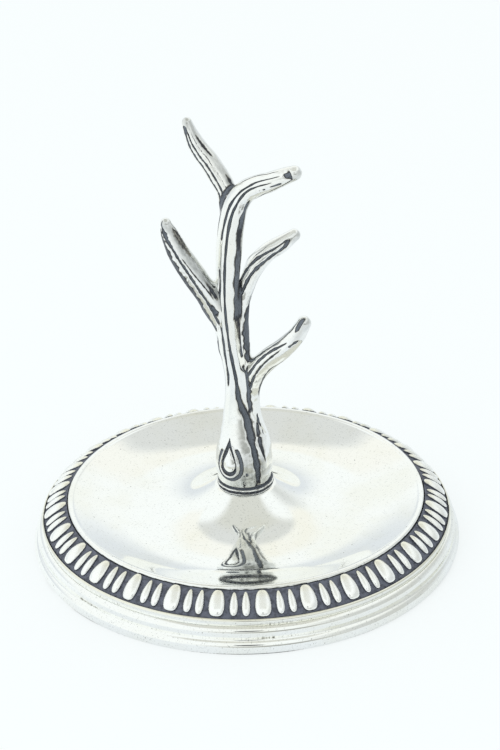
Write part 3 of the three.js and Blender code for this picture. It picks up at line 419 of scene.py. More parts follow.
# The branches: turn in degrees, then lengths in millimetres, then root rows (share of the
# stem's path, girth, seat) and free rows (reach, lean, rise, girth). They are the CAD model's,
# but the middle left branch is a little thicker and longer. Each also has the reach of the
# oxide round its root and how high up the stem that starts.
BRANCHES = {
    "branch_upper_left": {
        "turn": 180, "reach": -8.3, "lean": 7.2, "rise": 18.77, "girth": 2.08, "tip": 1.05,
        "leave_share": 0.7, "oxide": 1.45, "oxide_from": 0,
        "root_shares": [(0.67, 0.5, -0.2), (0.7, 0.75, -0.3)],
        "free_shares": [(0.063, 0.36, 0.17, 0.9), (0.11, 0.445, 0.32, 0.98),
                        (0.28, 0.58, 0.456, 1), (0.49, 0.71, 0.598, 0.97),
                        (0.675, 0.82, 0.696, 0.92), (0.85, 0.917, 0.822, 0.8),
                        (1, 1, 0.9995, 0.5)],
        "groove_shares": [
            [(0.2, -50, 1.4, 0, 0), (0.26, -50, 1.6, 1, 1), (0.42, -54, 1.7, 1, 1),
             (0.65, -47, 1.6, 1, 1), (0.87, -45, 1.5, 1, 1), (0.93, -46, 1.6, 1, 1),
             (0.95, -47, 2.4, 1, 1), (0.97, -47, 2.8, 1, 1), (0.985, -46, 1.6, 0.6, 1),
             (0.995, -45, 0.4, 0, 0)],
            [(0.28, -24, 1, 0, 0), (0.34, -23, 1, 1, 1), (0.46, -15, 1, 1, 1),
             (0.66, -13, 1, 1, 1), (0.8, -13, 0.9, 1, 1), (0.91, -18, 0.8, 1, 0.9),
             (0.97, -24, 0.6, 0.5, 0.6), (0.99, -27, 0.4, 0, 0)],
            [(0.62, 46, 0.5, 0, 0), (0.66, 46, 1, 0.4, 0.6), (0.76, 44, 1.7, 0.6, 0.64),
             (0.84, 40, 1.6, 0.4, 0.64), (0.9, 37, 0.8, 0.2, 0.6), (0.92, 36, 0.4, 0, 0)],
            [(0.36, 50, 2, 0, 0.8), (0.42, 52, 2, 0, 0.8), (0.47, 52, 1.2, 0, 0.5),
             (0.5, 50, 0.6, 0, 0)],
        ],
        "shade_shares": [
            [(0.35, 48, 32, 0.9), (0.46, 46, 28, 0.7), (0.55, 40, 24, 0.5), (0.66, 40, 22, 0.6),
             (0.8, 36, 22, 0.62), (0.9, 30, 24, 0.6), (1, 24, 40, 0.5)],
            [(0.93, 0, 50, 0), (0.97, 0, 60, 0.4), (1, 0, 70, 0.5)],
        ],
    },
    "branch_middle_left": {
        "turn": -100, "reach": -11.35, "lean": -4.8, "rise": 27.1, "girth": 2.2, "tip": 1.15,
        "leave_share": 0.45, "oxide": 0.4, "oxide_from": 42,
        "root_shares": [(0.42, 0.6, -1.1)],
        "free_shares": [(0.088, -0.1, 0.079, 0.83), (0.24, 0, 0.233, 1.01),
                        (0.372, 0.167, 0.374, 1.07), (0.53, 0.333, 0.507, 1.13),
                        (0.672, 0.5, 0.621, 1.12), (0.812, 0.667, 0.74, 1.04),
                        (0.912, 0.833, 0.85, 0.92), (0.982, 0.917, 0.938, 0.77),
                        (1.028, 1, 1.014, 0.52)],
        "groove_shares": [
            [(0.1, -46, 1.2, 0, 0), (0.14, -48, 1.8, 0.5, 1), (0.22, -54, 3, 0.3, 1),
             (0.32, -55, 3.8, 0.3, 0.92), (0.43, -53, 4.4, 0.3, 0.85),
             (0.64, -53, 4.4, 0.3, 0.85), (0.78, -58, 3.6, 0.3, 0.88),
             (0.86, -64, 2.4, 0.3, 0.9), (0.93, -70, 1.2, 0.3, 0.8), (1, -70, 0.5, 0, 0)],
            [(0.14, -6, 0.8, 0, 0), (0.18, -6, 1.2, 1, 1), (0.235, -4, 1.2, 1, 1),
             (0.3, -5, 1.2, 1, 1), (0.4, -8, 1.2, 1, 1), (0.59, -4, 1.2, 1, 1),
             (0.74, -8, 1.1, 1, 1), (0.82, -20, 1.8, 1, 1), (0.88, -28, 2.6, 1, 1),
             (0.94, -36, 2.6, 1, 0.9), (0.98, -42, 1.4, 0.5, 0.9), (1, -46, 0.8, 0.3, 1)],
            [(0.6, 64, 1, 0, 0), (0.66, 62, 2.4, 0, 0.4), (0.74, 60, 3.8, 0, 0.5),
             (0.84, 56, 4, 0, 0.52), (0.9, 54, 2.8, 0, 0.5), (0.95, 46, 1.4, 0, 0.5),
             (0.98, 40, 0.5, 0, 0)],
            [(0.3, 30, 0.5, 0, 0), (0.35, 27, 0.9, 0.3, 0.72), (0.5, 17, 0.7, 0.3, 0.7),
             (0.65, 12, 0.6, 0.3, 0.6), (0.76, 6, 0.3, 0, 0)],
            [(0.08, -80, 0.6, 0, 0), (0.11, -78, 1.4, 0.2, 1), (0.16, -76, 1.6, 0.2, 1),
             (0.24, -74, 1.4, 0, 1), (0.3, -72, 0.8, 0, 0)],
            [(0.28, 45, 1.4, 0, 0), (0.33, 44, 2, 0, 0.75), (0.38, 43, 2, 0, 0.72),
             (0.43, 41, 1.2, 0, 0.5), (0.5, 38, 1, 0, 0)],
            [(0.2, 6, 0.8, 0, 0), (0.235, 8, 2.2, 0.2, 1), (0.28, 6, 1.8, 0.2, 1),
             (0.31, 8, 0.6, 0, 0)],
        ],
        "shade_shares": [
            [(0.24, 56, 30, 0.8), (0.38, 56, 38, 1), (0.46, 54, 40, 0.95), (0.56, 50, 40, 0.85),
             (0.64, 48, 40, 0.8), (0.72, 46, 38, 0.8), (0.8, 42, 36, 0.8), (0.9, 36, 36, 0.75),
             (0.97, 20, 46, 0.6), (1, 0, 70, 0.5)],
        ],
    },
    "branch_middle_right": {
        "turn": 112, "reach": 13.77, "lean": 5.8, "rise": 15.68, "girth": 2, "tip": 1.31,
        "leave_share": 0.5, "oxide": 1.2, "oxide_from": 35,
        "root_shares": [(0.31, 0.5, 0.3), (0.37, 0.62, 0.4), (0.41, 0.7, 0.5), (0.45, 0.73, 0.5),
                        (0.5, 0.75, 0.6)],
        "free_shares": [(0.228, 0.259, 0.221, 0.78), (0.27, 0.345, 0.337, 0.81),
                        (0.336, 0.448, 0.516, 0.91), (0.45, 0.586, 0.688, 1),
                        (0.614, 0.724, 0.816, 0.955), (0.807, 0.862, 0.9, 0.885),
                        (1, 1, 1, 0.66)],
        "groove_shares": [
            [(0.56, -66, 1.2, 0, 0.8), (0.64, -56, 1.6, 1, 1), (0.68, -48, 1.8, 1, 1),
             (0.72, -37, 1.8, 1, 1), (0.76, -31, 1.7, 1, 1), (0.8, -22, 1.5, 1, 1),
             (0.84, -16, 1.1, 1, 1), (0.89, -19, 0.8, 1, 0.9), (0.94, -20, 0.9, 1, 1),
             (0.965, -20, 0.6, 0, 0)],
            [(0.46, -36, 1.4, 0.3, 1), (0.51, -32, 1.5, 0.8, 1), (0.585, -20, 1.5, 1, 1),
             (0.65, -10, 1.8, 1, 1), (0.7, 3, 1.9, 1, 1), (0.75, 12, 1.9, 1, 1),
             (0.8, 17, 1.7, 1, 1), (0.87, 15, 1.7, 1, 1), (0.915, 10, 2, 1, 1),
             (0.95, -3, 2.4, 0.8, 1), (0.975, -10, 0.8, 0, 0)],
            [(0.09, 24, 1, 0, 0), (0.115, 24, 2.2, 0, 0.9), (0.15, 24, 3.2, 0, 1),
             (0.17, 30, 1.6, 0, 0.8), (0.18, 32, 0.6, 0, 0)],
            [(0.26, -20, 1.4, 0, 0.5), (0.32, -26, 2.6, 0, 0.52), (0.38, -34, 2.2, 0, 0.5),
             (0.43, -44, 1, 0, 0)],
            [(0.08, 38, 1, 0, 0), (0.14, 40, 2.2, 0.1, 0.8), (0.18, 38, 3.6, 0.1, 0.9),
             (0.24, 38, 5, 0.1, 1), (0.3, 47, 5.4, 0.2, 1), (0.34, 52, 5.2, 0.2, 1),
             (0.38, 52, 4.2, 0.2, 0.9), (0.42, 57, 2.8, 0.2, 0.8), (0.45, 62, 1.6, 0.1, 0.7),
             (0.5, 68, 1, 0, 0.7), (0.55, 72, 0.6, 0, 0)],
        ],
        "shade_shares": [
            [(0.69, -100, 12, 0.5), (0.72, -93, 13, 0.9), (0.78, -66, 9, 0.75),
             (0.86, -57, 8, 0.65), (0.94, -60, 9, 0.5), (0.99, -65, 10, 0.4)],
            [(0.44, 44, 14, 0.7), (0.52, 52, 13, 0.9), (0.59, 72, 14, 0.75), (0.65, 66, 14, 0.6),
             (0.72, 72, 12, 0.6), (0.8, 78, 10, 0.5), (0.9, 75, 9, 0.4), (1, 70, 9, 0.3)],
            [(0.3, 8, 10, 0), (0.36, 10, 14, 0.3), (0.42, 10, 10, 0)],
            [(0.95, 30, 60, 0), (0.98, 20, 70, 0.35), (1, 20, 70, 0.4)],
        ],
    },
    "branch_lower_right": {
        "turn": 92, "reach": 13.88, "lean": -3.8, "rise": 17.63, "girth": 2.25, "tip": 1.5,
        "leave_share": 0.3, "oxide": 0.9, "oxide_from": 26,
        "root_shares": [(0.13, 0.45, -0.95), (0.2, 0.58, -0.39), (0.25, 0.65, 0.11),
                        (0.3, 0.68, 0.6)],
        "free_shares": [(0.259, 0, 0.162, 0.8), (0.33, 0.16, 0.331, 0.98),
                        (0.509, 0.42, 0.506, 1), (0.715, 0.684, 0.666, 0.94),
                        (0.89, 0.895, 0.838, 0.82), (1, 1, 1, 0.67)],
        "groove_shares": [
            [(0.46, -62, 1, 0, 0.8), (0.52, -50, 1.3, 1, 1), (0.57, -44, 1.4, 1, 1),
             (0.64, -50, 1.3, 1, 1), (0.74, -49, 1.3, 1, 1), (0.8, -38, 1, 0.8, 0.9),
             (0.83, -30, 0.8, 0.3, 0.7), (0.85, -26, 0.5, 0, 0)],
            [(0.38, -30, 1, 0.3, 0.8), (0.42, -18, 1.3, 0.8, 1), (0.52, -14, 1.2, 0.8, 1),
             (0.57, -12, 1, 0.8, 0.9), (0.66, -19, 0.9, 0.8, 0.9), (0.76, -22, 0.7, 0.5, 0.8),
             (0.8, -24, 0.4, 0, 0)],
            [(0.822, -5, 0.5, 0, 0), (0.83, -2, 1.2, 0.3, 1), (0.85, 2, 0.8, 0.3, 0.8),
             (0.87, 7, 1.3, 0.3, 1), (0.888, 14, 0.8, 0.2, 0.8), (0.9, 20, 0.4, 0, 0)],
            [(0.925, -33, 0.5, 0, 0), (0.94, -33, 1, 0.4, 1), (0.965, -34, 2, 0.5, 1),
             (0.985, -35, 2.6, 0.5, 1), (1, -38, 2.4, 0.3, 1)],
            [(0.08, 20, 0.8, 0, 0), (0.12, 19, 1.4, 0.3, 1), (0.16, 21, 1.2, 0.3, 1),
             (0.2, 25, 0.6, 0.2, 0.7), (0.22, 26, 0.4, 0, 0)],
            [(0.12, -14, 0.8, 0, 0), (0.16, -18, 1.6, 0, 0.8), (0.2, -24, 2.4, 0, 1),
             (0.25, -30, 3, 0, 1), (0.32, -38, 3.8, 0, 1), (0.4, -46, 4, 0, 1),
             (0.47, -54, 3.6, 0, 1), (0.51, -64, 2.8, 0, 1), (0.54, -74, 1.6, 0, 0.9),
             (0.56, -80, 0.8, 0, 0)],
            [(0.3, 66, 0.4, 0, 0), (0.36, 61, 1.5, 0.3, 1), (0.49, 54, 1.5, 0.3, 1),
             (0.55, 44, 1.2, 0.2, 1), (0.6, 37, 0.8, 0.2, 1), (0.647, 32, 0.7, 0.2, 0.9),
             (0.681, 42, 0.6, 0.1, 0.9), (0.72, 55, 0.6, 0.1, 0.8), (0.76, 60, 0.3, 0, 0)],
        ],
        "shade_shares": [
            [(0.56, -114, 10, 0.6), (0.6, -108, 11, 0.8), (0.69, -91, 9, 0.7),
             (0.79, -86, 9, 0.7), (0.91, -75, 9, 0.6), (1, -62, 9, 0.5)],
            [(0.24, 76, 8, 0), (0.3, 74, 10, 0.5), (0.36, 72, 11, 0.8), (0.47, 66, 9, 0.7),
             (0.56, 58, 9, 0.5), (0.65, 60, 9, 0.4), (0.81, 70, 10, 0.35), (1, 66, 10, 0.3)],
            [(0.42, 45, 14, 0), (0.5, 42, 16, 0.3), (0.6, 42, 14, 0.2), (0.7, 44, 12, 0)],
            [(0.84, -4, 26, 0), (0.9, -8, 30, 0.35), (0.96, 0, 34, 0.3), (1, 10, 60, 0.4)],
        ],
    },
}
BRANCH_GROOVE_WIDTH_SHARE = 0.26
BRANCH_GROOVE_DEPTH_SHARE = 0.17


# Curves and fields

def catmull_rom(rows, at, centripetal):
    """Points of a Catmull-Rom spline through the rows, at shares of its path."""
    rows = np.asarray(rows, float)
    count = len(rows)
    padded = np.vstack([2 * rows[0] - rows[1], rows, 2 * rows[-1] - rows[-2]])
    place = np.clip(at, 0, 1) * (count - 1)
    low = np.minimum(place.astype(int), count - 2)
    blend = (place - low)[:, None]
    p0, p1, p2, p3 = (padded[low + k] for k in range(4))
    if centripetal:
        gaps = np.sqrt(np.linalg.norm(np.diff(padded, axis=0), axis=1))
        d0, d1, d2 = (gaps[low + k][:, None] for k in range(3))
        t1 = ((p1 - p0) / d0 - (p2 - p0) / (d0 + d1) + (p2 - p1) / d1) * d1
        t2 = ((p2 - p1) / d1 - (p3 - p1) / (d1 + d2) + (p3 - p2) / d2) * d1
    else:
        t1 = (p2 - p0) / 2
        t2 = (p3 - p1) / 2
    return (
        p1 + t1 * blend + (3 * (p2 - p1) - 2 * t1 - t2) * blend ** 2
        + (2 * (p1 - p2) + t1 + t2) * blend ** 3
    )


def natural_spline(x, y, at):
    """A curve of even bend through the points, for a profile that mirrors cleanly."""
    x, y = np.asarray(x, float), np.asarray(y, float)
    gap = np.diff(x)
    slope = np.diff(y) / gap
    matrix = np.eye(len(x))
    right = np.zeros(len(x))
    for i in range(1, len(x) - 1):
        matrix[i, i - 1:i + 2] = gap[i - 1], 2 * (gap[i - 1] + gap[i]), gap[i]
        right[i] = 6 * (slope[i] - slope[i - 1])
    bend = np.linalg.solve(matrix, right)
    i = np.clip(np.searchsorted(x, at) - 1, 0, len(x) - 2)
    a, b, h = x[i + 1] - at, at - x[i], gap[i]
    return (
        (bend[i] * a ** 3 + bend[i + 1] * b ** 3) / (6 * h)
        + (y[i] / h - bend[i] * h / 6) * a + (y[i + 1] / h - bend[i + 1] * h / 6) * b
    )


def step(value, low, high):
    """0 below low, 1 above high and smooth between them."""
    blend = np.clip((value - low) / (high - low), 0, 1)
    return blend * blend * (3 - 2 * blend)


def ripple(points, size, seed, waves=9):
    """A smooth uneven field between about -1 and 1, with bumps of about that size."""
    random = np.random.default_rng(seed)
    total = np.zeros(points.shape[:-1])
    for _ in range(waves):
        way = random.normal(size=3)
        way *= random.uniform(0.6, 1.5) / np.linalg.norm(way)
        total += np.sin(points @ way * (TAU / size) + random.uniform(0, TAU))
    return total / math.sqrt(waves)


class Strand:
    """A bar of changing girth along a curve, with oxide grooves and painted shade along it."""

    def __init__(self, centres, radii, groove, grooves, shade_bands, oxide_reach=0.0, oxide_from=0.0):
        self.centres = np.asarray(centres, float)
        self.radii = np.asarray(radii, float)[:, None]
        self.groove_width, self.groove_depth = groove
        self.grooves = [np.asarray(rows, float) for rows in grooves]
        self.shade_bands = [np.asarray(rows, float) for rows in shade_bands]
        self.oxide_reach = oxide_reach
        self.oxide_from = oxide_from
        self.samples = self.at(np.linspace(0, 1, GAP_SAMPLES))

    def at(self, shares):
        """Centre, direction, front, right and radius at shares of the path."""
        centre = catmull_rom(self.centres, shares, True)
        ahead = catmull_rom(self.centres, np.minimum(shares + NUDGE_SHARE, 1), True)
        behind = catmull_rom(self.centres, np.maximum(shares - NUDGE_SHARE, 0), True)
        way = ahead - behind
        way /= np.linalg.norm(way, axis=1, keepdims=True)
        front = np.array([0, -1.0, 0]) - way * -way[:, 1:2]
        front /= np.linalg.norm(front, axis=1, keepdims=True)
        radius = catmull_rom(self.radii, shares, False)[:, 0]
        return centre, way, front, np.cross(way, front), radius

    def gap(self, points, limit):
        """How far points lie outside the strand, its grooves left out, up to a limit."""
        flat = points.reshape(-1, 3)
        centre, radius = self.samples[0], self.samples[4]
        low = (centre - radius[:, None]).min(axis=0) - limit
        high = (centre + radius[:, None]).max(axis=0) + limit
        close = np.flatnonzero(np.all((flat > low) & (flat < high), axis=1))
        result = np.full(len(flat), float(limit))
        squares = (centre ** 2).sum(axis=1)
        for start in range(0, len(close), GAP_CHUNK):
            chosen = close[start:start + GAP_CHUNK]
            spots = flat[chosen]
            apart = (spots ** 2).sum(axis=1)[:, None] + squares - 2 * spots @ centre.T
            away = np.sqrt(np.maximum(apart, 0)) - radius
            result[chosen] = np.minimum(away.min(axis=1), limit)
        return result.reshape(points.shape[:-1])

    def cuts(self, shares, degrees, radius):
        """How deep the grooves cut, and how dark they are, for each section and facet."""
        depth = np.zeros((len(shares), len(degrees)))
        dark = np.zeros_like(depth)
        for i, rows in enumerate(self.grooves):
            middle = np.interp(shares, rows[:, 0], rows[:, 1])[:, None]
            width, deep, oxide = (
                np.interp(shares, rows[:, 0], rows[:, k], 0, 0)[:, None] for k in (2, 3, 4)
            )
            away = (degrees[None] - middle + 180) % 360 - 180
            wander = 1 + 0.16 * np.sin(shares * 61 + i * 2.1) + 0.12 * np.sin(shares * 143 + i)
            half = np.maximum(width * self.groove_width / 2 * wander[:, None], 1e-6)
            across = np.abs(np.radians(away)) * radius[:, None] / half
            shape = np.clip(1 - across ** 1.6, 0, 1) ** 1.3
            depth = np.maximum(depth, shape * deep * self.groove_depth)
            dark = np.maximum(dark, np.clip(1.5 * shape, 0, 1) * oxide)
        return depth, dark

    def film(self, shares, degrees):
        """How strong the painted shade and dark reflection are, for each section and facet."""
        film = np.zeros((len(shares), len(degrees)))
        for rows in self.shade_bands:
            middle, spread = (np.interp(shares, rows[:, 0], rows[:, k])[:, None] for k in (1, 2))
            strength = np.interp(shares, rows[:, 0], rows[:, 3], 0, 0)[:, None]
            away = ((degrees[None] - middle + 180) % 360 - 180) / spread
            film = np.maximum(film, strength * np.clip(1 - away ** 2, 0, 1))
        return film


def filleted(points, outward, others, reach):
    """How far each point is lifted where its strand meets another in a fillet.

    Also gives the gap from each point to each of the others.
    """
    gaps = np.array([other.gap(points, 2 * reach) for other in others])
    lift = np.zeros(points.shape[:-1])
    near = np.abs(gaps.min(axis=0)) < reach * 1.5
    gap = gaps.min(axis=0)[near]
    for _ in range(3):
        share = np.clip(1 - np.abs(gap - lift[near]) / reach, 0, 1)
        lift[near] = share * share * reach / 4
        spots = points[near] + outward[near] * lift[near][:, None]
        gap = np.min([other.gap(spots, 2 * reach) for other in others], axis=0)
    return lift, gaps


def joint_oxide(strand, others, gaps, height):
    """The oxide that soldering left where the strand meets the others."""
    dark = np.zeros(gaps.shape[1:])
    for other, gap in zip(others, gaps):
        reach = max(strand.oxide_reach, other.oxide_reach)
        start = max(strand.oxide_from, other.oxide_from)
        seen = step(gap, reach, reach * 0.4) * step(gap, *JOINT_DEPTHS)
        dark = np.maximum(dark, seen * step(height, start, start + JOINT_FADE))
    return dark


# Meshes

def new_object(name, vertices, faces, attributes=None):
    """A smooth-shaded object with attributes, floats or vectors, on its points."""
    mesh = bpy.data.meshes.new(name)
    mesh.from_pydata(np.asarray(vertices, float).tolist(), [], faces)
    for key, values in (attributes or {}).items():
        values = np.asarray(values, np.float32)
        vectors = values.ndim == 2
        layer = mesh.attributes.new(key, "FLOAT_VECTOR" if vectors else "FLOAT", "POINT")
        layer.data.foreach_set("vector" if vectors else "value", values.ravel())
    mesh.shade_smooth()
    mesh.update()
    piece = bpy.data.objects.new(name, mesh)
    bpy.context.scene.collection.objects.link(piece)
    return piece


def ring_faces(rings, facets, closed=False):
    """Quads between rings of points, the last joined to the first if closed."""
    faces = []
    for r in range(rings if closed else rings - 1):
        low, high = r * facets, (r + 1) % rings * facets
        for i in range(facets):
            j = (i + 1) % facets
            faces.append((low + i, low + j, high + j, high + i))
    return faces


def pole_faces(pole, ring, facets, upwards):
    """Triangles from a ring of points to a pole."""
    faces = []
    for i in range(facets):
        j = (i + 1) % facets
        faces.append((pole, ring + i, ring + j) if upwards else (pole, ring + j, ring + i))
    return faces


def turned(name, profile, facets, sharp_degrees=32, filed=None, patchy=False, toning=None):
    """A closed profile of (radius, height, oxide) turned about the Z axis.

    Filed gives the radius and the height that hand filing leaves. Patchy oxide was polished
    away along most of its groove. Toning gives how warm the silver is at a radius and a height.
    """
    profile = np.asarray(profile, float)
    angles = np.arange(facets) * TAU / facets
    radius = np.repeat(profile[:, 0:1], facets, axis=1)
    height = np.repeat(profile[:, 1:2], facets, axis=1)
    if filed:
        radius, height = filed(radius, height, angles)
    points = np.stack([radius * np.cos(angles), radius * np.sin(angles), height], axis=-1)
    oxide = np.repeat(profile[:, 2], facets)
    points = points.reshape(-1, 3)
    if patchy:
        left = np.clip(0.5 + 0.8 * ripple(points, PATCH_SIZE, seed=3), 0, 1.35)
        oxide = np.where(oxide < 0.5, oxide * left, oxide)
    finish = {"oxide": oxide, "straight": points}
    if toning:
        finish["toning"] = toning(np.hypot(points[:, 0], points[:, 1]), points[:, 2])
    piece = new_object(name, points, ring_faces(len(profile), facets, True), finish)
    piece.data.set_sharp_from_angle(angle=math.radians(sharp_degrees))
    return piece


def moulding(start, end, bulge, oxide=0, points=10):
    """A round moulding between two profile points that stands proud of its chord."""
    start, end = np.asarray(start, float), np.asarray(end, float)
    chord = end - start
    half = np.linalg.norm(chord) / 2
    out = np.array([chord[1], -chord[0]]) / (2 * half)
    radius = (half ** 2 + bulge ** 2) / (2 * bulge)
    limit = math.asin(min(half / radius, 1))
    if bulge > half:
        limit = math.pi - limit
    swing = np.linspace(-limit, limit, points)
    run = (
        (start + end) / 2 + np.outer(radius * np.sin(swing) / half, chord / 2)
        + np.outer(radius * np.cos(swing) - radius + bulge, out)
    )
    return [(r, z, oxide) for r, z in run]


def heights(base):
    """The heights and radii that follow from the sizes of the base."""
    bead_top = (base.torus_height + base.groove_height + base.ovolo_height + base.quirk_height
                + base.bead_height)
    bead_inner = base.rim_radius - base.bead_step - base.bead_width
    border_outer = bead_inner - base.clearance
    border_inner = border_outer - base.border_width
    border_low = bead_top - base.border_edge - base.clearance
    border_high = border_low + base.border_edge + base.border_rise
    lip_top = border_high + base.lip_crown
    trough = lip_top - base.lip_crown / 2 - base.wall_height
    return {
        "bead_top": bead_top,
        "bead_inner": bead_inner,
        "border_outer": border_outer,
        "border_inner": border_inner,
        "border_low": border_low,
        "border_high": border_high,
        "seat": border_high - base.border_inner_edge,
        "lip_outer": border_inner - base.clearance,
        "lip_top": lip_top,
        "trough": trough,
        "boss_top": trough + base.boss_rise,
        "stem_foot": trough + base.boss_rise + base.collar_height,
    }


# Materials

def add_node(tree, kind, inputs=None, **values):
    """A node with its settings, and its sockets set or linked."""
    made = tree.nodes.new(kind)
    for key, value in values.items():
        setattr(made, key, value)
    for key, value in (inputs or {}).items():
        if isinstance(value, bpy.types.NodeSocket):
            tree.links.new(value, made.inputs[key])
        else:
            made.inputs[key].default_value = value
    return made


def maths(tree, operation, *values):
    """The result of a sum on sockets or numbers."""
    return add_node(tree, "ShaderNodeMath", dict(enumerate(values)), operation=operation).outputs[0]


def product(tree, first, second):
    """Two sockets or numbers multiplied, which also stands for where both hold."""
    return maths(tree, "MULTIPLY", first, second)


def diagonal(tree, first, second):
    """The distance that two lengths at right angles make."""
    squares = [maths(tree, "POWER", side, 2.0) for side in (first, second)]
    return maths(tree, "SQRT", maths(tree, "ADD", *squares))


def attribute(tree, name, output="Fac"):
    """A mesh's attribute, which is 0 where the mesh has none of that name."""
    return add_node(tree, "ShaderNodeAttribute", attribute_name=name).outputs[output]


def ranged(tree, value, low, high, to_low=0.0, to_high=1.0):
    """A value brought smoothly from one range to another."""
    return add_node(
        tree, "ShaderNodeMapRange",
        {"Value": value, "From Min": low, "From Max": high, "To Min": to_low, "To Max": to_high},
        interpolation_type="SMOOTHSTEP",
    ).outputs["Result"]


def blended(tree, factor, first, second):
    """A mix of two colours."""
    return add_node(
        tree, "ShaderNodeMix", {"Factor": factor, 6: first, 7: second}, data_type="RGBA",
    ).outputs[2]


def layered(tree, shade, layers):
    """A colour with others laid over it in turn, each as far as its factor says."""
    for factor, layer in layers:
        shade = blended(tree, factor, shade, layer)
    return shade


def dimmed(shade, share):
    """A plain colour with only a share of its light."""
    return (*(channel * share for channel in shade[:3]), 1)


def uneven(tree, vector, size, detail=3.0, rough=0.55):
    """Noise between 0 and 1 with grains of about that size."""
    return add_node(
        tree, "ShaderNodeTexNoise",
        {"Vector": vector, "Scale": 1 / size, "Detail": detail, "Roughness": rough},
    ).outputs["Fac"]


def wandering(tree, value, noise, amount):
    """A value with noise between 0 and 1 added, so that the edges it draws wander."""
    return maths(tree, "ADD", value, product(tree, maths(tree, "SUBTRACT", noise, 0.5), amount))


def bumped(tree, strength, depth, height, below=None):
    """A bump, which may lie over another bump."""
    inputs = {"Strength": strength, "Distance": depth, "Height": height}
    if below is not None:
        inputs["Normal"] = below
    return add_node(tree, "ShaderNodeBump", inputs).outputs[0]


def new_material(name):
    material = bpy.data.materials.new(name)
    material.use_nodes = True
    tree = material.node_tree
    tree.nodes.clear()
    place = add_node(tree, "ShaderNodeTexCoord").outputs["Object"]
    shader = add_node(tree, "ShaderNodeBsdfPrincipled")
    add_node(tree, "ShaderNodeOutputMaterial", {"Surface": shader.outputs["BSDF"]})
    return material, tree, place, shader


def silver_material(name, finish, grain, roughness, toning, speckle, spun=0.0):
    """Sterling silver whose hollows hold dark oxide, as the oxide attribute says.

    Polishing leaves fine scratches and small pits, and handling leaves a thin warm toning.
    The film attribute says where grey painted shade and dark reflection lie on the silver. The
    straight attribute holds the surface's place as if the strand were straight, so that its grain
    runs along it.
    """
    material, tree, place, shader = new_material(name)
    straight = attribute(tree, "straight", "Vector")
    stretched = add_node(
        tree, "ShaderNodeMapping", {"Vector": straight, "Scale": GRAIN_STRETCH},
    ).outputs[0]
    edge = uneven(tree, stretched, grain, 4.0, 0.7)
    oxide = wandering(tree, attribute(tree, "oxide"), edge, 0.9)
    dark = ranged(tree, oxide, 0.42, 0.58)
    tone = maths(
        tree, "MAXIMUM", attribute(tree, "toning"),
        ranged(tree, uneven(tree, place, PATCH_SIZE), 0.42, 0.72, 0.0, toning),
    )
    # Pits are 0.2 to 0.4 mm across, and only some cells have one.
    cells = add_node(tree, "ShaderNodeTexVoronoi", {"Vector": place, "Scale": 1 / PIT_SPACING})
    chance = add_node(
        tree, "ShaderNodeSeparateColor", {"Color": cells.outputs["Color"]},
    ).outputs[0]
    pit = product(
        tree, ranged(tree, cells.outputs["Distance"], 0.05, 0.09, 1.0, 0.0),
        ranged(tree, chance, 0.55, 0.6),
    )
    specks = ranged(tree, uneven(tree, place, SPECK_SIZE, 3.0, 0.7), 0.56, 0.7, 0.0, speckle)
    streaks = ranged(tree, uneven(tree, stretched, STREAK_SIZE, 4.0, 0.65), 0.3, 0.7, 0.6, 1.2)
    film, brown = tuple(finish.film), tuple(finish.brown_oxide)
    hollow = blended(
        tree, ranged(tree, oxide, 0.72, 1.0), tuple(finish.dark_oxide), tuple(finish.oxide),
    )
    # The film attribute lays grey painted shade and dark reflection over the silver.
    shade = layered(tree, tuple(finish.silver), (
        (tone, tuple(finish.toned)),
        (specks, film),
        (product(tree, attribute(tree, "film"), streaks), film),
        (ranged(tree, oxide, 0.2, 0.45), brown),
        (product(tree, pit, 0.55), brown),
        (dark, hollow),
    ))
    tree.links.new(shade, shader.inputs["Base Color"])
    tree.links.new(ranged(tree, dark, 0.0, 1.0, 1.0, 0.35), shader.inputs["Metallic"])
    smudge = ranged(
        tree, uneven(tree, place, SMUDGE_SIZE, 4.0), 0.35, 0.7, roughness, roughness * 2.2,
    )
    tree.links.new(
        maths(tree, "ADD", smudge, product(tree, dark, 0.38)), shader.inputs["Roughness"],
    )
    # Real scratches are far finer than a pixel, so these are coarser than real ones. Spun
    # pieces have theirs in rings.
    around, spacing = place, SCRATCH_SIZE
    if spun:
        right, back, up = add_node(tree, "ShaderNodeSeparateXYZ", {"Vector": place}).outputs
        around = add_node(
            tree, "ShaderNodeCombineXYZ", {0: diagonal(tree, right, back), 1: up},
        ).outputs[0]
        spacing = spun
    scratches = bumped(tree, 0.035, SCRATCH_DEPTH, uneven(tree, around, spacing, 2.0))
    pits = bumped(tree, 0.5, -PIT_DEPTH, pit, scratches)
    cast = bumped(tree, 0.25, CAST_DEPTH, product(tree, edge, dark), pits)
    tree.links.new(cast, shader.inputs["Normal"])
    return material


def steel_material(name, finish):
    """Plain turned steel, with the rings that the tool leaves."""
    material, tree, place, shader = new_material(name)
    smear = ranged(tree, uneven(tree, place, HANDLED_SIZE), 0.3, 0.7)
    shade = blended(tree, smear, tuple(finish.steel), dimmed(finish.steel, 0.72))
    tree.links.new(shade, shader.inputs["Base Color"])
    shader.inputs["Metallic"].default_value = 1
    tree.links.new(ranged(tree, smear, 0.0, 1.0, 0.28, 0.42), shader.inputs["Roughness"])
    rings = add_node(
        tree, "ShaderNodeTexWave",
        {"Vector": place, "Scale": 1 / STEEL_RING_SPACING, "Distortion": 1.5},
        bands_direction="Z",
    ).outputs["Fac"]
    tree.links.new(bumped(tree, 0.15, SCRATCH_DEPTH, rings), shader.inputs["Normal"])
    return material


def finish_piece(piece, material, slot, *nodes):
    """Gives a finished piece its material and its place in the frame."""
    piece.data.materials.clear()
    piece.data.materials.append(material)
    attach(piece, "root")
    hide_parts(*nodes)


def shared_material(name, make, *values):
    """A material by name, made the first time that it is asked for."""
    return bpy.data.materials.get(name) or make(name, *values)


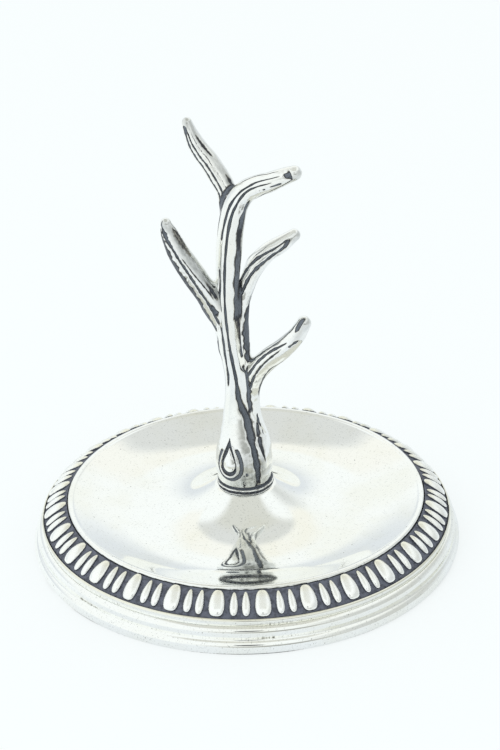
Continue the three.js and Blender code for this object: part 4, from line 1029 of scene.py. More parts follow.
def spun_silver():
    """Spun and mirror polished: the dish and the rim."""
    return shared_material(
        "spun_sterling_silver", silver_material, settings()[2],
        SPUN_GRAIN, 0.035, 0.4, 0.45, SPUN_SPACING,
    )


def cast_silver():
    """Lost-wax cast and hand polished: the tree and its collar."""
    return shared_material(
        "cast_sterling_silver", silver_material, settings()[2],
        CAST_GRAIN, 0.09, 0.35, 0.25,
    )


# Pieces of the base

class RINGTREE_OT_rim(bpy.types.Operator):
    """Turn the stepped rim"""
    bl_idname = "ring_tree.rim"
    bl_label = "Stepped Rim"

    def execute(self, context):
        base, _, _ = settings()
        h = heights(base)
        foot = base.rim_radius
        groove_top = base.torus_height + base.groove_height
        ovolo_top = groove_top + base.ovolo_height
        quirk_top = ovolo_top + base.quirk_height
        ledge = h["lip_outer"] - base.flange - base.clearance
        seat_top = h["border_inner"] + base.inner_seat - base.clearance
        seat_foot = h["border_outer"] - base.outer_seat - base.clearance
        groove = foot - base.groove_step
        under = h["border_low"] - base.rim_wall
        profile = [
            (foot - base.land_inset - base.land_width, 0, 0),
            # Painted contact shadow: oxide on the torus's lowest points, a dark line at the table.
            (foot - base.land_inset, 0, 0.45),
            (foot - base.land_inset * 0.85, 0.03 * base.torus_height, 0.45),
            (foot - base.land_inset * 0.7, 0.07 * base.torus_height, 0.4),
            *moulding((foot - base.land_inset * 0.65, 0.08 * base.torus_height),
                      (foot - base.shoulder_step, base.torus_height * 0.93),
                      base.torus_height * 0.178, 0, 16),
            (foot - base.shoulder_step * 1.1, base.torus_height, 0.08),
            (groove, base.torus_height, 0.2),
            (groove, (base.torus_height + groove_top) / 2, 0.12),
            (groove, groove_top, 0.16),
            *moulding((foot - base.ovolo_step, groove_top + 0.06 * base.ovolo_height),
                      (foot - base.bead_step, ovolo_top), base.ovolo_height * 0.16, 0, 14),
            (foot - base.quirk_step, ovolo_top, 0.18),
            (foot - base.quirk_step, quirk_top, 0.16),
            *moulding((foot - base.bead_step - base.bead_width * 0.1, quirk_top),
                      (h["bead_inner"] + base.bead_width * 0.2, h["bead_top"]),
                      base.bead_height * 0.22, 0, 10),
            (h["bead_inner"], h["bead_top"] - base.bead_width * 0.1, 0.3),
            (h["bead_inner"], h["border_low"], 1),
            (seat_foot, h["border_low"], 1),
            (seat_top, h["seat"], 1),
            (ledge, h["seat"], 1),
            (ledge, h["seat"] - base.rim_wall, 0),
            (seat_top - base.rim_wall / 2, h["seat"] - base.rim_wall, 0),
            (seat_foot - base.rim_wall / 2, under, 0),
            (groove - base.rim_wall, under, 0),
            (groove - base.rim_wall, base.torus_height, 0),
        ]

        def handled(radius, height):
            """The bead's inner edge, where handling has left the most toning."""
            edge, width = h["bead_inner"], base.bead_width
            near = step(radius, edge + width * 1.4, edge + width * 0.6)
            return near * step(height, quirk_top, quirk_top + base.bead_height / 2)

        piece = turned("stepped_rim_turned", profile, RING_FACETS, patchy=True, toning=handled)
        finish_piece(piece, spun_silver(), "polished_silver", "stepped_rim")
        return {"FINISHED"}


# Outline of the dish from the boss to the trough and from the trough to the lip, as in the
# CAD model: how far across, and how far up.
flank_shares = [(0, 1), (0.167, 0.67), (0.345, 0.37), (0.583, 0.14), (0.82, 0.03), (1, 0)]
wall_shares = [(0.23, 0.07), (0.385, 0.2), (0.615, 0.46), (0.846, 0.78), (1, 1)]


class RINGTREE_OT_dish(bpy.types.Operator):
    """Spin the dish with its boss and its rolled lip"""
    bl_idname = "ring_tree.dish"
    bl_label = "Dish"

    def execute(self, context):
        base, _, _ = settings()
        h = heights(base)
        inner = h["lip_outer"] - base.lip_inset * 1.5
        chosen = [
            (base.boss_radius + across * (base.trough_radius - base.boss_radius),
             h["trough"] + up * base.boss_rise)
            for across, up in flank_shares
        ] + [
            (base.trough_radius + across * (inner - base.trough_radius),
             h["trough"] + up * base.wall_height)
            for across, up in wall_shares
        ]
        across, up = np.array(chosen).T
        run = np.linspace(across[0], across[-1], 90)
        top = np.column_stack([run, natural_spline(across, up, run)])
        along = np.gradient(top, axis=0)
        along /= np.linalg.norm(along, axis=1, keepdims=True)
        under = top + np.column_stack([along[:, 1], -along[:, 0]]) * base.sheet
        lip = base.lip_inset / 3
        profile = [
            (base.stud_hole, h["boss_top"], 0),
            (base.stud_hole, h["boss_top"] - base.sheet, 0),
            (base.boss_radius - base.sheet / 2, h["boss_top"] - base.sheet, 0),
            *[(r, z, 0) for r, z in under[1:-1]],
            (h["lip_outer"] - base.flange, h["seat"] + base.sheet / 2, 0),
            (h["lip_outer"] - base.flange, h["seat"], 0),
            # The lip's outer wall, in the gap by the border, holds oxide and painted shade.
            (h["lip_outer"], h["seat"], 1),
            (h["lip_outer"], h["lip_top"] - base.lip_crown, 1),
            *moulding((h["lip_outer"], h["lip_top"] - base.lip_crown * 0.75),
                      (h["lip_outer"] - lip, h["lip_top"]), base.lip_crown * 0.12, 0, 6),
            *moulding((h["lip_outer"] - 2 * lip, h["lip_top"]),
                      (top[-1][0] + lip / 3, top[-1][1] + lip / 5), base.lip_crown * 0.1, 0, 6),
            *[(r, z, 0) for r, z in top[::-1]],
        ]
        piece = turned("dish_spun", profile, RING_FACETS, 60)
        finish_piece(piece, spun_silver(), "polished_silver", "dish")
        return {"FINISHED"}


def lobe_branch(tree, group, pitch, start, kind, outline, seed):
    """The nodes that make one kind of lobe and set a ring of copies of it round the border."""
    def number(operation, *values):
        return maths(tree, operation, *values)

    long, wide, relief, inset = (group.outputs[f"{kind} {size}"] for size in LOBE_SIZES)
    blunt, taper = outline
    mesh = add_node(
        tree, "GeometryNodeMeshUVSphere",
        {"Segments": LOBE_SEGMENTS, "Rings": LOBE_RINGS, "Radius": 1.0},
    ).outputs["Mesh"]
    position = add_node(tree, "GeometryNodeInputPosition").outputs[0]
    side, up, along = add_node(tree, "ShaderNodeSeparateXYZ", {0: position}).outputs
    square = number("SUBTRACT", 1.0, number("POWER", along, 2.0))
    round_off = number("SQRT", number("MAXIMUM", square, LEAST_SQUARE))
    broad = number(
        "MULTIPLY", number("POWER", round_off, blunt - 1),
        number("MULTIPLY_ADD", along, taper, 1.0),
    )
    across = number("MULTIPLY", number("MULTIPLY", side, broad), number("DIVIDE", wide, 2.0))
    tall = number("MULTIPLY", up, number("POWER", round_off, -LOBE_FLATNESS))
    out = number("SUBTRACT", number("MULTIPLY", along, number("DIVIDE", long, 2.0)), inset)
    # The ground is highest in mid band, so the lobe falls towards both of its ends.
    half = number("DIVIDE", number("MULTIPLY", out, 2.0), group.outputs["Band width"])
    bow = number("MULTIPLY", number("POWER", half, 2.0), group.outputs["Crown"])
    sunk = number("MULTIPLY", relief, -LOBE_SUNK_SHARE)
    rise = number("MAXIMUM", number("MULTIPLY", tall, relief), sunk)
    high = number(
        "ADD", number("SUBTRACT", rise, bow),
        number("ADD", group.outputs["Crown"], group.outputs["Lift"]),
    )
    place = add_node(tree, "ShaderNodeCombineXYZ", {0: out, 1: across, 2: high}).outputs[0]
    for key, value in (("relief", tall), ("along", along)):
        mesh = add_node(
            tree, "GeometryNodeStoreNamedAttribute",
            {"Geometry": mesh, "Name": key, "Value": value}, data_type="FLOAT", domain="POINT",
        ).outputs[0]
    tilt = add_node(tree, "ShaderNodeCombineXYZ", {1: group.outputs["Slant"]}).outputs[0]
    for shaping, inputs in (
        ("GeometryNodeSetPosition", {"Position": place}),
        ("GeometryNodeSetShadeSmooth", {}),
        ("GeometryNodeTransform", {"Rotation": tilt}),
    ):
        mesh = add_node(tree, shaping, {"Geometry": mesh, **inputs}).outputs[0]
    index = add_node(tree, "GeometryNodeInputIndex").outputs[0]
    angle = number("MULTIPLY_ADD", index, pitch, start)
    radius = group.outputs["Radius"]
    spot = add_node(
        tree, "ShaderNodeCombineXYZ",
        {0: number("MULTIPLY", number("COSINE", angle), radius),
         1: number("MULTIPLY", number("SINE", angle), radius),
         2: group.outputs["Height"]},
    ).outputs[0]
    points = add_node(
        tree, "GeometryNodePoints", {"Count": group.outputs["Repeats"], "Position": spot},
    )
    # The stamp was struck by hand, so no two lobes are quite alike.
    scale = add_node(
        tree, "FunctionNodeRandomValue",
        {"Min": LOBE_LEAST_SHARES, "Max": LOBE_MOST_SHARES, "Seed": seed},
        data_type="FLOAT_VECTOR",
    ).outputs[0]
    swing = add_node(
        tree, "FunctionNodeRandomValue", {2: -LOBE_SWING, 3: LOBE_SWING, "Seed": seed + 1},
        data_type="FLOAT",
    ).outputs[1]
    spin = add_node(
        tree, "FunctionNodeAxisAngleToRotation",
        {"Axis": (0, 0, 1), "Angle": number("ADD", angle, swing)},
    ).outputs[0]
    return add_node(
        tree, "GeometryNodeInstanceOnPoints",
        {"Points": points.outputs[0], "Instance": mesh, "Rotation": spin, "Scale": scale},
    ).outputs[0]


def lobe_tree():
    """Geometry Nodes that set wide and narrow lobes on the band."""
    tree = bpy.data.node_groups.new("border_lobes", "GeometryNodeTree")
    tree.is_modifier = True
    tree.interface.new_socket("Geometry", in_out="INPUT", socket_type="NodeSocketGeometry")
    tree.interface.new_socket("Geometry", in_out="OUTPUT", socket_type="NodeSocketGeometry")
    tree.interface.new_socket("Repeats", in_out="INPUT", socket_type="NodeSocketInt")
    for key in LOBE_INPUTS:
        tree.interface.new_socket(key, in_out="INPUT", socket_type="NodeSocketFloat")
    tree.interface.new_socket("Material", in_out="INPUT", socket_type="NodeSocketMaterial")
    group = add_node(tree, "NodeGroupInput")
    pitch = maths(tree, "DIVIDE", TAU, group.outputs["Repeats"])
    start = maths(tree, "SUBTRACT", group.outputs["Turn"], math.pi / 2)
    middle = maths(tree, "MULTIPLY_ADD", pitch, 0.5, start)
    aside = maths(
        tree, "DIVIDE",
        maths(tree, "ADD", group.outputs["Narrow width"], group.outputs["Lobe gap"]),
        maths(tree, "MULTIPLY", group.outputs["Radius"], 2.0),
    )
    left, right = (maths(tree, way, middle, aside) for way in ("SUBTRACT", "ADD"))
    lobes = [
        lobe_branch(tree, group, pitch, start, "Wide", WIDE_OUTLINE, 11),
        lobe_branch(tree, group, pitch, left, "Narrow", NARROW_OUTLINE, 23),
        lobe_branch(tree, group, pitch, right, "Narrow", NARROW_OUTLINE, 37),
    ]
    joined = add_node(tree, "GeometryNodeJoinGeometry")
    for made in [group.outputs["Geometry"], *lobes]:
        tree.links.new(made, joined.inputs[0])
    real = add_node(tree, "GeometryNodeRealizeInstances", {"Geometry": joined.outputs[0]})
    dressed = add_node(
        tree, "GeometryNodeSetMaterial",
        {"Geometry": real.outputs[0], "Material": group.outputs["Material"]},
    )
    add_node(tree, "NodeGroupOutput", {"Geometry": dressed.outputs[0]})
    return tree


def border_material(name, finish):
    """Struck silver: the ground is blackened, and only the lobes are polished back."""
    material, tree, place, shader = new_material(name)
    relief, along = (attribute(tree, key) for key in ("relief", "along"))
    grain = uneven(tree, place, SPECK_SIZE, 4.0, 0.7)
    bare = ranged(tree, wandering(tree, relief, grain, 0.35), 0.18, 0.3)
    handled = ranged(tree, uneven(tree, place, HANDLED_SIZE), 0.35, 0.7, 0.0, 0.25)
    tone = maths(tree, "MAXIMUM", handled, ranged(tree, along, -0.1, -0.9))
    bright = blended(tree, tone, tuple(finish.silver), tuple(finish.toned))
    deep = dimmed(finish.ground, 0.45)
    mottle = uneven(tree, place, MOTTLE_SIZE, 4.0, 0.65)
    # The corner round each lobe is darker: oxide, and painted shade at the lobe's foot.
    shade = layered(tree, tuple(finish.ground), (
        (ranged(tree, mottle, 0.44, 0.62, 0.0, 0.8), deep),
        (ranged(tree, relief, 0.0, 0.06), deep),
        (bare, bright),
    ))
    tree.links.new(shade, shader.inputs["Base Color"])
    tree.links.new(ranged(tree, bare, 0.0, 1.0, 0.3, 0.75), shader.inputs["Metallic"])
    # The lobes' outer ends are rubbed smoother than the rest.
    worn = product(
        tree, ranged(tree, grain, 0.3, 0.7, 0.22, 0.34),
        ranged(tree, along, 0.25, 0.6, 1.0, 0.25),
    )
    tree.links.new(
        maths(tree, "ADD", worn, ranged(tree, bare, 0.0, 1.0, 0.35, 0.0)),
        shader.inputs["Roughness"],
    )
    tree.links.new(bumped(tree, 0.1, CAST_DEPTH, grain), shader.inputs["Normal"])
    return material


class RINGTREE_OT_border(bpy.types.Operator):
    """Strike the border: a band with wide and narrow lobes"""
    bl_idname = "ring_tree.border"
    bl_label = "Lobed Border"

    def execute(self, context):
        base, _, finish = settings()
        h = heights(base)
        edge = h["border_low"] + base.border_edge
        profile = [
            (h["border_inner"], h["seat"], 0),
            (h["border_inner"] + base.inner_seat, h["seat"], 0),
            (h["border_outer"] - base.outer_seat, h["border_low"], 0),
            (h["border_outer"], h["border_low"], 0),
            *moulding((h["border_outer"], edge), (h["border_inner"], h["border_high"]),
                      base.border_crown, 0, 16),
        ]
        piece = turned("lobed_border_band", profile, RING_FACETS, 50)
        for key in ("relief", "along"):
            piece.data.attributes.new(key, "FLOAT", "POINT")
        modifier = piece.modifiers.new("lobes", "NODES")
        modifier.node_group = lobe_tree()
        values = {
            "Repeats": base.repeats,
            "Turn": base.border_turn,
            "Radius": h["border_outer"] - base.border_width / 2,
            "Height": edge + base.border_rise / 2,
            "Slant": math.atan2(base.border_rise, base.border_width),
            "Band width": math.hypot(base.border_width, base.border_rise),
            "Crown": base.border_crown,
            "Lift": base.border_lift,
            "Material": border_material("struck_oxidised_silver", finish),
        }
        for key in LOBE_INPUTS:
            if key not in values:
                values[key] = getattr(base, key.lower().replace(" ", "_"))
        for socket in modifier.node_group.interface.items_tree:
            if socket.item_type == "SOCKET" and socket.name in values:
                modifier[socket.identifier] = values[socket.name]
        bpy.context.view_layer.update()
        whole = piece.evaluated_get(bpy.context.evaluated_depsgraph_get())
        mesh = bpy.data.meshes.new_from_object(whole)
        piece.modifiers.clear()
        piece.data = mesh
        if len(mesh.polygons) < base.repeats:
            raise RuntimeError("the border has no lobes")
        finish_piece(piece, values["Material"], "oxidised_silver", "lobed_border")
        return {"FINISHED"}


# Pieces of the tree

def stem_strand(base, stem):
    """The stem's own strand."""
    foot = heights(base)["stem_foot"]
    centres, radii = [], []
    for reach, lean, rise, bulb, taper in stem_shares:
        centres.append((reach * stem.reach, -lean * stem.lean, foot + rise * stem.rise))
        radii.append(
            stem.waist_radius + bulb * (stem.bulb_radius - stem.waist_radius)
            + taper * (stem.tip_radius - stem.waist_radius)
        )
    groove = (stem.groove_width, stem.groove_depth)
    return Strand(centres, radii, groove, stem_groove_shares, stem_shade_shares)


def branch_strand(branch, trunk):
    """A branch's strand: its root lies against the trunk, and the rest leaves from it."""
    turned_by = math.radians(branch["turn"])
    girth = branch["girth"] * MM
    centres, radii = [], []
    for share, girth_share, seat_share in branch["root_shares"]:
        centre, _, front, right, radius = (part[0] for part in trunk.at(np.array([share])))
        offset = radius + seat_share * girth * girth_share
        way = math.cos(turned_by) * front + math.sin(turned_by) * right
        centres.append(centre + offset * way)
        radii.append(girth * girth_share)
    leave = trunk.at(np.array([branch["leave_share"]]))[0][0]
    extent = np.array([branch["reach"], branch["lean"], branch["rise"]]) * MM
    for *shares, girth_share in branch["free_shares"]:
        centres.append(leave + extent * shares)
        radii.append(girth * girth_share)
    radii[-1] = branch["tip"] * MM
    groove = (girth * BRANCH_GROOVE_WIDTH_SHARE, girth * BRANCH_GROOVE_DEPTH_SHARE)
    return Strand(
        centres, radii, groove, branch["groove_shares"], branch["shade_shares"],
        branch["oxide"] * MM, trunk.centres[0][2] + branch["oxide_from"] * MM,
    )


def all_strands():
    base, stem, _ = settings()
    trunk = stem_strand(base, stem)
    return trunk, {name: branch_strand(branch, trunk) for name, branch in BRANCHES.items()}


def strand_points(strand, shares, facets, relief=None):
    """Points, outward directions and finish of a strand's skin, with its round tip."""
    degrees = np.arange(facets) * 360 / facets
    cap = np.linspace(0, math.pi / 2, TIP_SECTIONS + 1)[1:-1]
    caps = np.concatenate([np.zeros(len(shares)), cap])
    rows = np.concatenate([shares, np.ones(TIP_SECTIONS - 1)])
    centre, way, front, right, radius = strand.at(rows)
    depth, dark = strand.cuts(rows, degrees, radius)
    # The film is painted shade and dark reflection along the strand's sides.
    film = strand.film(rows, degrees)
    swing = np.radians(degrees)[None, :, None]
    outward = front[:, None] * np.cos(swing) + right[:, None] * np.sin(swing)
    reach = radius[:, None] - depth
    if relief is not None:
        lift, more = relief(centre, radius, degrees)
        reach = reach + lift
        dark = np.maximum(dark, more)
    reach = reach * np.cos(caps)[:, None]
    dark = dark * step(np.cos(caps), 0.25, 0.8)[:, None]
    past = radius * np.sin(caps)
    points = centre[:, None] + outward * reach[..., None] + (way * past[:, None])[:, None]
    run = np.concatenate([[0], np.cumsum(np.linalg.norm(np.diff(centre, axis=0), axis=1))]) + past
    straight = np.stack(
        [radius[:, None] * np.cos(swing[..., 0]), radius[:, None] * np.sin(swing[..., 0]),
         np.repeat(run[:, None], facets, axis=1)], axis=-1,
    )
    return points, outward, dark, film, straight, centre[-1] + way[-1] * radius[-1]


def bud_outline(long, wide):
    """The outline of a drop that stands on its round end."""
    half = wide / 2
    low = -long / 2 + half * 1.05
    curves = [
        [(0, long / 2), (half * 0.25, long * 0.22), (half, long * 0.05), (half, low)],
        [(half, low), (half, -long / 2 + half * 0.42), (half * 0.55, -long / 2), (0, -long / 2)],
    ]
    t = np.linspace(0, 1, BUD_POINTS, endpoint=False)[:, None]
    side = np.vstack([
        (1 - t) ** 3 * np.array(a) + 3 * (1 - t) ** 2 * t * np.array(b)
        + 3 * (1 - t) * t ** 2 * np.array(c) + t ** 3 * np.array(d)
        for a, b, c, d in curves
    ] + [[[0, -long / 2]]])
    return np.vstack([side, side[-2:0:-1] * (-1, 1)])


def inside_by(points, outline):
    """How far points lie inside an outline; less than nothing is outside it."""
    nearest = np.full(points.shape[:-1], np.inf)
    crossings = np.zeros(points.shape[:-1], int)
    x, y = points[..., 0], points[..., 1]
    for (ax, ay), (bx, by) in zip(outline, np.roll(outline, -1, axis=0)):
        dx, dy = bx - ax, by - ay
        t = np.clip(((x - ax) * dx + (y - ay) * dy) / (dx * dx + dy * dy), 0, 1)
        nearest = np.minimum(nearest, np.hypot(x - ax - t * dx, y - ay - t * dy))
        over = (ay > y) != (by > y)
        crossings += over & (x < ax + (y - ay) * dx / (dy if dy else 1e-12))
    return np.where(crossings % 2 == 1, nearest, -nearest)


def bulb_relief(foot, stem):
    """The bud on the bulb, as lift and oxide, for the stem's skin."""
    def relief(centre, radius, degrees):
        away = (degrees[None] - math.degrees(stem.bud_turn) + 180) % 360 - 180
        across = radius[:, None] * np.sin(np.radians(away))
        up = np.repeat((centre[:, 2] - foot - stem.bud_height)[:, None], len(degrees), axis=1)
        lift = np.zeros_like(across)
        dark = np.zeros_like(across)
        near = (np.abs(away) < 75) & (np.abs(up) < stem.bud_length)
        spots = np.stack([across[near], up[near]], axis=-1)
        rim = inside_by(spots, bud_outline(stem.bud_length, stem.bud_width))
        sunk = inside_by(spots, bud_outline(stem.sunk_length, stem.sunk_width))
        seed_spots = spots + (0, stem.seed_drop)
        seed = inside_by(seed_spots, bud_outline(stem.seed_length, stem.seed_width))
        height = spots[:, 1]
        # The rim runs out into the bulb towards the bud's point.
        run_out = step(height, 0.35 * stem.bud_length, 0.1 * stem.bud_length)
        proud = stem.bud_relief * (0.25 + 0.75 * run_out)
        dome = np.sqrt(np.clip(1 - (1 - np.clip(seed / (stem.seed_width / 2), 0, 1)) ** 2, 0, 1))
        # The moat starts a little higher on the bud's right.
        rightness = step(spots[:, 0], *MOAT_SIDES)
        upper = (0.16 + 0.06 * rightness) * stem.bud_length
        lower = step(height, upper, upper - 0.1 * stem.bud_length)
        moat = MOAT_DEPTH * np.exp(-((rim + BUD_EDGE) / BUD_EDGE) ** 2) * lower
        lift[near] = (
            proud * step(rim, 0, BUD_EDGE) - (proud + stem.sunk_depth) * step(sunk, 0, BUD_EDGE)
            + stem.seed_relief * dome - moat
        )
        spread = (MOAT_REACH + MOAT_REACH_RIGHT * rightness) * MM
        ring = step(rim, -spread, -spread * 0.7) * step(rim, *MOAT_INNER_EDGE) * lower
        well = step(sunk, 0, WELL_EDGE) * step(seed, *SEED_EDGE)
        dark[near] = np.maximum(ring, well)
        seam = step(centre[:, 2] - foot, *SEAM_HEIGHTS)[:, None]
        return lift, np.maximum(dark, seam)
    return relief


def skin_strand(name, strand, others, shares, facets, fillet, relief=None, socket=None):
    """Skins a strand, with fillets and oxide where it meets the others."""
    points, outward, dark, film, straight, tip = strand_points(strand, shares, facets, relief)
    lift, gaps = filleted(points, outward, others, fillet)
    dark = np.maximum(dark, joint_oxide(strand, others, gaps, points[..., 2]))
    waves = sum(ripple(points, size * MM, seed) * depth * MM for size, depth, seed in CAST_RIPPLES)
    points = points + outward * (lift + waves)[..., None]
    poles = [tuple(strand.centres[0]), tuple(tip)]
    if socket:
        # The socket that takes the stud, from its blind end down to the stem's foot.
        radius, depth = socket
        swing = np.radians(np.arange(facets) * 360 / facets)
        foot = strand.centres[0]
        circle = np.column_stack(
            [np.sin(swing) * radius, -np.cos(swing) * radius, np.zeros(facets)]
        )
        inner = np.array([circle + (0, 0, foot[2] + depth), circle + (0, 0, foot[2])])
        bare = np.zeros((2, facets))
        points = np.concatenate([inner, points])
        straight = np.concatenate([inner, straight])
        dark = np.concatenate([bare, dark])
        film = np.concatenate([bare, film])
        poles[0] = (0, 0, foot[2] + depth)
    count = len(points)
    vertices = np.vstack([points.reshape(-1, 3), poles])
    faces = ring_faces(count, facets)
    faces += pole_faces(count * facets, 0, facets, False)
    faces += pole_faces(count * facets + 1, (count - 1) * facets, facets, True)
    ends = straight[[0, -1]].mean(axis=1)
    # The film attribute carries the painted shade and dark reflection.
    finish = {
        "oxide": np.append(dark.ravel(), [0, 0]),
        "film": np.append(film.ravel(), [0, film[-1].mean()]),
        "straight": np.vstack([straight.reshape(-1, 3), ends]),
    }
    return new_object(name, vertices, faces, finish)


class RINGTREE_OT_stem(bpy.types.Operator):
    """Cast the stem with its bulb, bud and grooves"""
    bl_idname = "ring_tree.stem"
    bl_label = "Stem"

    def execute(self, context):
        base, stem, _ = settings()
        trunk, branches = all_strands()
        bulb_sections = int(STEM_SECTIONS * BULB_SECTIONS_SHARE)
        shares = np.concatenate([
            np.linspace(0, BULB_SHARE, bulb_sections, endpoint=False),
            np.linspace(BULB_SHARE, 1, STEM_SECTIONS - bulb_sections),
        ])
        piece = skin_strand(
            "stem_cast", trunk, list(branches.values()), shares, STEM_FACETS, stem.fillet,
            bulb_relief(heights(base)["stem_foot"], stem), (base.stud_hole, stem.stud_engagement),
        )
        finish_piece(piece, cast_silver(), "cast_silver", "stem")
        return {"FINISHED"}


class RINGTREE_OT_branches(bpy.types.Operator):
    """Cast the four branches and solder them to the stem"""
    bl_idname = "ring_tree.branches"
    bl_label = "Branches"

    def execute(self, context):
        _, stem, _ = settings()
        trunk, branches = all_strands()
        for name, strand in branches.items():
            others = [trunk] + [other for key, other in branches.items() if key != name]
            piece = skin_strand(
                f"{name}_cast", strand, others, np.linspace(0, 1, BRANCH_SECTIONS),
                BRANCH_FACETS, stem.fillet,
            )
            finish_piece(piece, cast_silver(), "cast_silver", name)
        return {"FINISHED"}


# The collar's mouldings from below: start and end as shares of its height, bulge as a share
# of its groove's depth, oxide, and points.
collar_shares = [
    (0.02, 0.1, 0.4, 0.1, 6), (0.12, 0.38, 0.6, 0.8, 6), (0.4, 0.64, 0.5, 0.85, 6),
    (0.66, 0.88, 0.95, 0.24, 8),
]


class RINGTREE_OT_collar(bpy.types.Operator):
    """Turn the collar between the stem and the boss"""
    bl_idname = "ring_tree.collar"
    bl_label = "Collar"

    def execute(self, context):
        base, _, _ = settings()
        h = heights(base)
        low, high = h["boss_top"], h["stem_foot"]
        rise = base.collar_height
        drawn = base.collar_radius - base.collar_groove

        def hand_filed(radius, height, angles):
            """The outside a little out of round."""
            waves = (
                np.sin(5 * angles + 1) + 0.6 * np.sin(11 * angles) + 0.5 * np.sin(23 * angles + 2)
            )
            outer = (radius > drawn * 0.95).astype(float)
            return radius + outer * (COLLAR_WAVER * waves - COLLAR_FILED), height

        mouldings = []
        for start, end, bulge, oxide, points in collar_shares:
            mouldings += moulding(
                (drawn, low + rise * start), (drawn, low + rise * end), base.collar_groove * bulge,
                oxide, points,
            )
        profile = [
            (base.stud_hole, low, 0),
            (drawn, low, 0.2),
            *mouldings,
            (drawn, low + rise * 0.92, 1),
            (drawn, high, 1),
            (base.stud_hole, high, 0),
        ]
        piece = turned("stem_collar_filed", profile, COLLAR_FACETS, 40, hand_filed)
        finish_piece(piece, cast_silver(), "cast_silver", "stem_collar")
        return {"FINISHED"}


class RINGTREE_OT_fastening(bpy.types.Operator):
    """Give the stud, the washer and the nut their steel"""
    bl_idname = "ring_tree.fastening"
    bl_label = "Fastening"

    def execute(self, context):
        steel = steel_material("turned_steel", settings()[2])
        for node in ("stud", "washer", "nut"):
            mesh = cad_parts[node].data
            mesh.materials.clear()
            mesh.materials.append(steel)
        return {"FINISHED"}


# Stage

def side_shade(tree, right, back):
    """How dim the room is behind the camera: most a little to its right, and nothing at the sides.

    Also how far to the right a direction points.
    """
    spread = diagonal(tree, right, back)
    across = maths(tree, "DIVIDE", right, spread)
    behind = maths(tree, "DIVIDE", back, spread)
    width = product(
        tree, ranged(tree, across, -0.62, 0.2), ranged(tree, across, 0.4, 0.85, 1.0, 0.0),
    )
    shade = product(tree, width, ranged(tree, behind, -0.35, -0.75))
    return shade, ranged(tree, across, 0.35, 0.9)


def lit_world(scene, backdrop):
    """A white room. Metal sees its grey ceiling, its pale horizon and the dim side."""
    world = bpy.data.worlds.new("studio")
    world.use_nodes = True
    scene.world = world
    tree = world.node_tree
    tree.nodes.clear()
    way = add_node(tree, "ShaderNodeTexCoord").outputs["Generated"]
    right, back, up = add_node(tree, "ShaderNodeSeparateXYZ", {"Vector": way}).outputs
    high = maths(tree, "MAXIMUM", up, LEAST_UP)
    sideways = maths(tree, "ABSOLUTE", maths(tree, "DIVIDE", right, high))
    backwards = maths(tree, "DIVIDE", back, high)
    dim, right_side = side_shade(tree, right, back)

    def within(*limits):
        """Where all limits hold: each is a value, where it starts and where it is full."""
        whole, *others = (ranged(tree, *limit) for limit in limits)
        for other in others:
            whole = product(tree, whole, other)
        return whole

    # The camera's own dark spot, which shows in the lobes and in the rim's mouldings.
    across = maths(tree, "DIVIDE", right, SPOT_ACROSS_SIZE)
    above = maths(tree, "DIVIDE", maths(tree, "SUBTRACT", up, SPOT_UP), SPOT_UP_SIZE)
    spot = maths(
        tree, "ADD", maths(tree, "POWER", across, 2.0), maths(tree, "POWER", above, 2.0),
    )
    ceiling = blended(tree, ranged(tree, backwards, 0.1, 0.45), CEILING, CEILING_BACK)
    seen = layered(tree, backdrop, (
        (product(tree, right_side, within((up, 0.75, 0.45))), RIGHT_WALL),
        (within((backwards, 0.6, 0.75), (backwards, 1.35, 1.0), (sideways, 1.1, 0.7)), HALO),
        (within((up, 0.42, 0.1), (back, 0.0, 0.4)), HORIZON),
        (product(tree, dim, within((up, 0.36, 0.16))), DIM_SIDE),
        (within((backwards, 0.8, 0.62), (backwards, -0.9, -0.6), (sideways, 0.64, 0.4)), ceiling),
        (within((spot, 1.4, 0.6), (back, -0.3, -0.6)), CAMERA_SPOT),
    ))
    paths = add_node(tree, "ShaderNodeLightPath").outputs
    mirrored = maths(tree, "MAXIMUM", paths["Is Glossy Ray"], paths["Is Transmission Ray"])
    shown = blended(tree, mirrored, backdrop, seen)
    light = add_node(tree, "ShaderNodeBackground", {"Color": shown, "Strength": 1.0})
    add_node(tree, "ShaderNodeOutputWorld", {"Surface": light.outputs[0]})


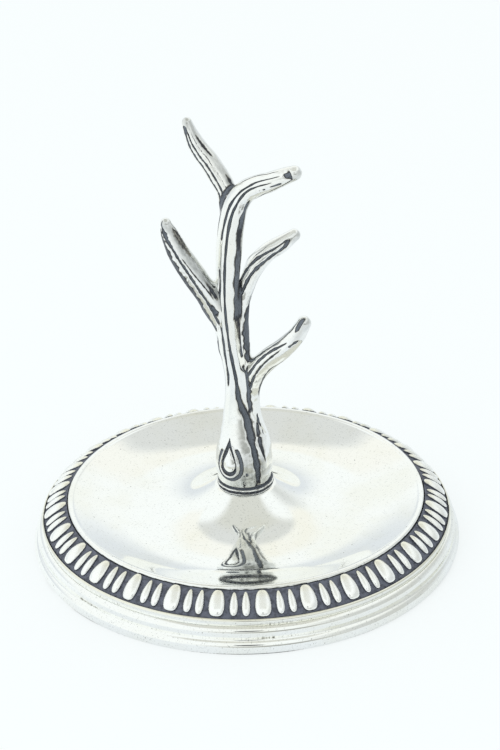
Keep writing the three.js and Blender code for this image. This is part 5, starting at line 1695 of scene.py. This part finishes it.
def floor_material(finish):
    """A matt white table with a faint shadow, and painted shade that fades out from the object."""
    material = bpy.data.materials.new("matt_white_table")
    material.use_nodes = True
    tree = material.node_tree
    tree.nodes.clear()
    backdrop = tuple(finish.backdrop)
    place = add_node(tree, "ShaderNodeTexCoord").outputs["Object"]
    right, back, _ = add_node(tree, "ShaderNodeSeparateXYZ", {"Vector": place}).outputs
    reach = add_node(
        tree, "ShaderNodeVectorMath", {0: place}, operation="LENGTH",
    ).outputs["Value"]
    dim, right_side = side_shade(tree, right, back)
    # The floor is as white as the room on the left, where the light comes from.
    left = maths(tree, "DIVIDE", right, product(tree, reach, -1.0))
    lit = product(tree, ranged(tree, left, 0.6, 0.9), ranged(tree, back, *TABLE_FRONT))
    far = maths(tree, "MAXIMUM", ranged(tree, reach, *TABLE_WHITER), lit)
    # What polished metal sees: painted shade near the object, greyer on the right and dimmer
    # towards the camera.
    mirrored = layered(tree, TABLE_SHADE_NEAR, (
        (far, backdrop),
        (product(tree, right_side, ranged(tree, reach, *TABLE_GREYER, 0.1, 1.0)), TABLE_SHADE_RIGHT),
        (product(tree, dim, ranged(tree, reach, *TABLE_DIMMER)), TABLE_DIM),
    ))
    paths = add_node(tree, "ShaderNodeLightPath").outputs
    seen = maths(tree, "MAXIMUM", paths["Is Camera Ray"], paths["Is Transmission Ray"])
    tint = blended(tree, seen, mirrored, backdrop)
    matt = add_node(tree, "ShaderNodeBsdfDiffuse", {"Color": tuple(finish.floor)})
    glow = add_node(tree, "ShaderNodeEmission", {"Color": tint, "Strength": 1.0})
    part = maths(
        tree, "ADD", product(tree, seen, CAMERA_WHITE_SHARE),
        product(tree, paths["Is Glossy Ray"], MIRROR_WHITE_SHARE),
    )
    both = add_node(
        tree, "ShaderNodeMixShader", {0: part, 1: matt.outputs[0], 2: glow.outputs[0]},
    )
    add_node(tree, "ShaderNodeOutputMaterial", {"Surface": both.outputs[0]})
    return material


def add_lamp(scene, name, place, size, watts):
    """A soft square lamp that faces the object."""
    lamp = bpy.data.lights.new(name, "AREA")
    lamp.energy = watts
    lamp.size = size
    made = bpy.data.objects.new(name, lamp)
    aim = Vector(CAMERA["target"]) - Vector(place)
    made.rotation_euler = aim.to_track_quat("-Z", "Y").to_euler()
    made.location = place
    made.visible_glossy = False
    scene.collection.objects.link(made)


class RINGTREE_OT_stage(bpy.types.Operator):
    """Set up the table, the light and the camera"""
    bl_idname = "ring_tree.stage"
    bl_label = "Stage"

    def execute(self, context):
        scene = context.scene
        finish = settings()[2]
        scene.view_settings.view_transform = "Standard"
        half = TABLE_HALF
        corners = [(-half, -half, 0), (half, -half, 0), (half, half, 0), (-half, half, 0)]
        floor = new_object("table_top", corners, [(0, 1, 2, 3)])
        floor.data.materials.append(floor_material(finish))
        lit_world(scene, tuple(finish.backdrop))
        add_lamp(scene, "soft_key", LAMP_PLACE, LAMP_SIZE, LAMP_WATTS)
        lens = bpy.data.cameras.new("camera")
        lens.sensor_width = CAMERA["sensor"]
        lens.lens = CAMERA["focal_pixels"] / CAMERA["image_height"] * lens.sensor_width
        lens.clip_start = CAMERA["nearest"]
        camera = bpy.data.objects.new("camera", lens)
        scene.collection.objects.link(camera)
        tilt = CAMERA["elevation"]
        ahead = Vector((0, math.cos(tilt), -math.sin(tilt)))
        level = Vector((1, 0, 0))
        upright = level.cross(ahead)
        roll = CAMERA["roll"]
        right = math.cos(roll) * level + math.sin(roll) * upright
        up = math.cos(roll) * upright - math.sin(roll) * level
        matrix = Matrix((right, up, -ahead)).transposed().to_4x4()
        matrix.translation = Vector(CAMERA["target"]) - CAMERA["distance"] * ahead
        camera.matrix_world = matrix
        scene.camera = camera
        return {"FINISHED"}


class RINGTREE_PT_panel(bpy.types.Panel):
    """Lists the sizes, the colours and the pieces of the ring tree"""
    bl_idname = "RINGTREE_PT_panel"
    bl_label = "Ring Tree"
    bl_space_type = "VIEW_3D"
    bl_region_type = "UI"
    bl_category = "Ring Tree"

    def draw(self, context):
        for operator in OPERATORS:
            self.layout.operator(operator.bl_idname)
        for group in settings():
            box = self.layout.box()
            for key in group.__annotations__:
                box.prop(group, key)


OPERATORS = (
    RINGTREE_OT_stage, RINGTREE_OT_rim, RINGTREE_OT_border, RINGTREE_OT_dish, RINGTREE_OT_stem,
    RINGTREE_OT_branches, RINGTREE_OT_collar, RINGTREE_OT_fastening,
)
GROUPS = {
    "ring_tree_base": RingTreeBase,
    "ring_tree_stem": RingTreeStem,
    "ring_tree_finish": RingTreeFinish,
}


def register():
    for kind in (*GROUPS.values(), *OPERATORS, RINGTREE_PT_panel):
        bpy.utils.register_class(kind)
    for key, group in GROUPS.items():
        setattr(bpy.types.Scene, key, PointerProperty(type=group))


def unregister():
    for key in GROUPS:
        delattr(bpy.types.Scene, key)
    for kind in reversed((*GROUPS.values(), *OPERATORS, RINGTREE_PT_panel)):
        bpy.utils.unregister_class(kind)


def main():
    register()
    for operator in OPERATORS:
        family, action = operator.bl_idname.split(".")
        getattr(getattr(bpy.ops, family), action)()


if __name__ == "__main__":
    main()
